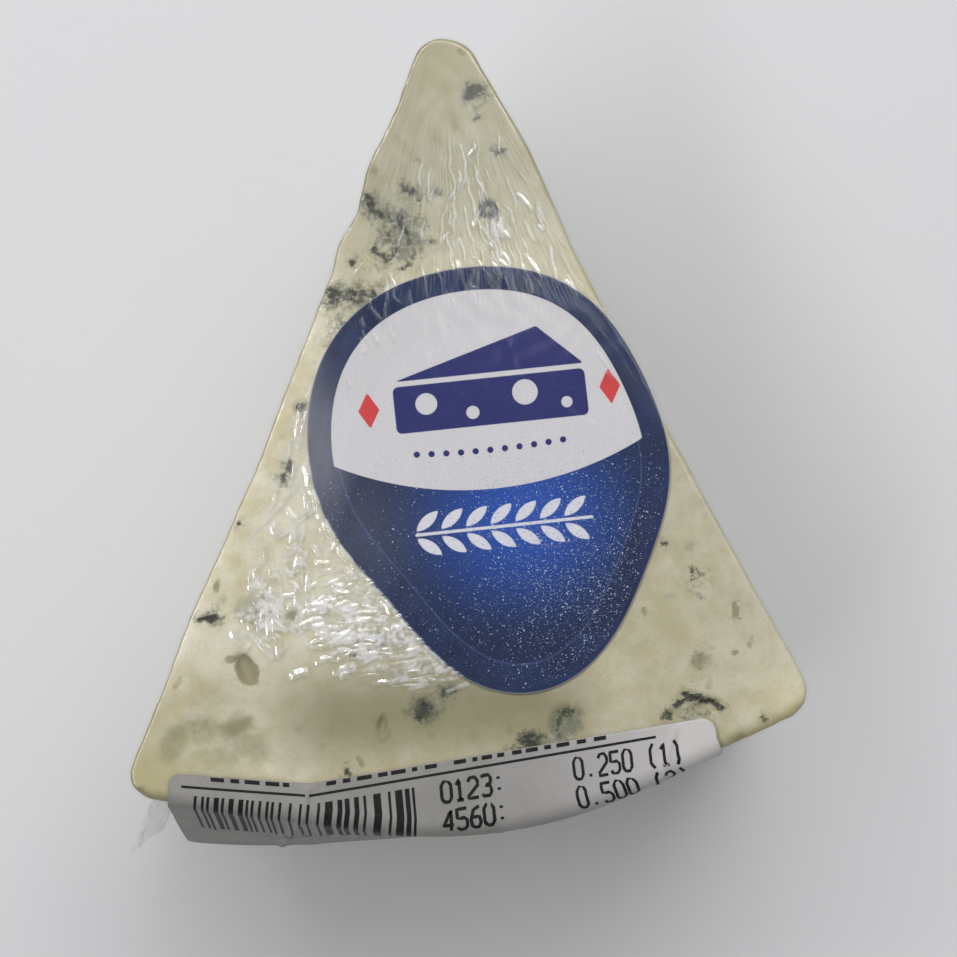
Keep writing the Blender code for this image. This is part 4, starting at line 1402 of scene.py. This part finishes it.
drop_points = np.zeros((len(tries), 2 * DROP_SIDES + 1, 3))
for k, (spread, rise) in enumerate(DROP_RINGS):
    ring_of_drop = drop_points[:, k * DROP_SIDES : (k + 1) * DROP_SIDES]
    ring_of_drop[..., :2] = tries[:, None] + ring_shape * spread * size[:, None, None]
    ring_of_drop[..., 2] = (level + rise * size)[:, None]
drop_points[:, -1, :2] = tries
drop_points[:, -1, 2] = level + DROP_CROWN * size
first = np.arange(len(tries))[:, None] * (2 * DROP_SIDES + 1)
j = np.arange(DROP_SIDES)
k = (j + 1) % DROP_SIDES
drop_quads = np.stack([first + j, first + k, first + k + DROP_SIDES, first + j + DROP_SIDES], axis=-1)
crown = np.broadcast_to(first + 2 * DROP_SIDES, (len(tries), DROP_SIDES))
drop_caps = np.stack([first + j + DROP_SIDES, first + k + DROP_SIDES, crown], axis=-1)
drop_mesh = mesh_of("condensation", drop_points.reshape(-1, 3) * MM + plan_shift, drop_quads, drop_caps)
drop_finish, tree, output = new_finish("condensed_water")
drop_fresnel = node(tree, "ShaderNodeFresnel", {"IOR": 1.33}).outputs[0]
drop_share = calc(tree, "ADD", calc(tree, "MULTIPLY", drop_fresnel, 2.0), 0.08, clamp=True)
clear = node(tree, "ShaderNodeBsdfTransparent", {"Color": (0.96, 0.97, 0.98, 1)}).outputs[0]
place = object_place(tree)
mirror = node(tree, "ShaderNodeBsdfPrincipled", {
    "Base Color": layer(tree, grain(tree, place, 900), paint(214, 226, 250), paint(240, 246, 255)),
    "Metallic": 1.0,
    "Roughness": 0.08,
}).outputs[0]
scattered = node(tree, "ShaderNodeBsdfDiffuse", {"Color": paint(206, 222, 252)}).outputs[0]
clouded = between(tree, grain(tree, place, 3800, 1), 0.35, 0.65, 0.1, 0.6)
whole = mixed(tree, clouded, mixed(tree, drop_share, clear, mirror), scattered)
tree.links.new(whole, output.inputs["Surface"])
show("condensation", drop_mesh, drop_finish, "wrapped_cheese")


# The stage: a plain pale floor under soft studio lamps, seen almost straight down at the
# photo's viewing angle. It isn't part of the object.

FLOOR_HALF = 1.5
FLOOR_DEPTH = 0.05 * MM

floor_mesh = bpy.data.meshes.new("floor")
floor_signs = ((-1, -1), (1, -1), (1, 1), (-1, 1))
floor_corners = [(x * FLOOR_HALF, y * FLOOR_HALF, -FLOOR_DEPTH) for x, y in floor_signs]
floor_mesh.from_pydata(floor_corners, [], [(0, 1, 2, 3)])
floor = bpy.data.objects.new("floor", floor_mesh)
bpy.context.scene.collection.objects.link(floor)
floor_finish, tree, output = new_finish("pale_floor")
place = object_place(tree)
cloud = grain(tree, place, 9, 3, 0.5)
opaque(tree, output, layer(tree, cloud, paint(203, 203, 205), paint(207, 207, 209)), 0.55, 0.5)
floor_mesh.materials.append(floor_finish)

LOOK_AT = np.array([0.0, 0.0, THICKNESS]) + plan_shift
CAMERA_AZIMUTH = -15
CAMERA_ELEVATION = 84
CAMERA_ROLL = math.radians(3.15)
CAMERA_DISTANCE = 0.230
FOCAL_PIXELS = 2185
PHOTO_PIXELS = 957
SENSOR_WIDTH = 36
SKY_COLOUR = (0.97, 0.98, 1.0, 1)
SKY_STRENGTH = 0.30


def aimed(position, target, lean=0.0):
    """Placement at a position that looks at a target, its upper side turned from +Y by lean."""
    back = unit(np.subtract(position, target))
    right = unit(np.cross([math.sin(lean), math.cos(lean), 0.0], back))
    up = np.cross(back, right)
    placement = Matrix.Identity(4)
    for i, axis in enumerate((right, up, back, position)):
        placement.col[i][:3] = [float(a) for a in axis]
    return placement


def direction(azimuth, elevation):
    """Unit vector from the object towards a lamp or camera, by degrees."""
    a, e = math.radians(azimuth), math.radians(elevation)
    return np.array([math.sin(a) * math.cos(e), -math.cos(a) * math.cos(e), math.sin(e)])


camera_data = bpy.data.cameras.new("camera")
camera = bpy.data.objects.new("camera", camera_data)
bpy.context.scene.collection.objects.link(camera)
camera_data.sensor_width = SENSOR_WIDTH
camera_data.lens = SENSOR_WIDTH * FOCAL_PIXELS / PHOTO_PIXELS
camera_data.clip_start = 0.01
camera_data.clip_end = 10
camera_back = direction(CAMERA_AZIMUTH, CAMERA_ELEVATION)
camera.matrix_world = aimed(LOOK_AT + camera_back * CAMERA_DISTANCE, LOOK_AT, CAMERA_ROLL)
bpy.context.scene.camera = camera

# Softboxes: azimuth and elevation in degrees, distance, width and length in metres, power in watts
for name, azimuth, elevation, distance, width, length, power in (
    ("key_softbox", 150, 52, 1.0, 0.75, 0.75, 3.2),
    ("left_strip", -90, 57, 1.0, 0.10, 1.3, 4.6),
    ("back_strip", 180, 57, 1.0, 1.1, 0.10, 3.8),
):
    lamp_data = bpy.data.lights.new(name, "AREA")
    lamp_data.shape = "RECTANGLE"
    lamp_data.size = width
    lamp_data.size_y = length
    lamp_data.energy = power
    lamp = bpy.data.objects.new(name, lamp_data)
    bpy.context.scene.collection.objects.link(lamp)
    lamp.matrix_world = aimed(LOOK_AT + direction(azimuth, elevation) * distance, LOOK_AT)

world = bpy.data.worlds.new("studio")
bpy.context.scene.world = world
world.use_nodes = True
sky = world.node_tree.nodes["Background"]
sky.inputs["Color"].default_value = SKY_COLOUR
sky.inputs["Strength"].default_value = SKY_STRENGTH
bpy.context.scene.view_settings.view_transform = "Standard"
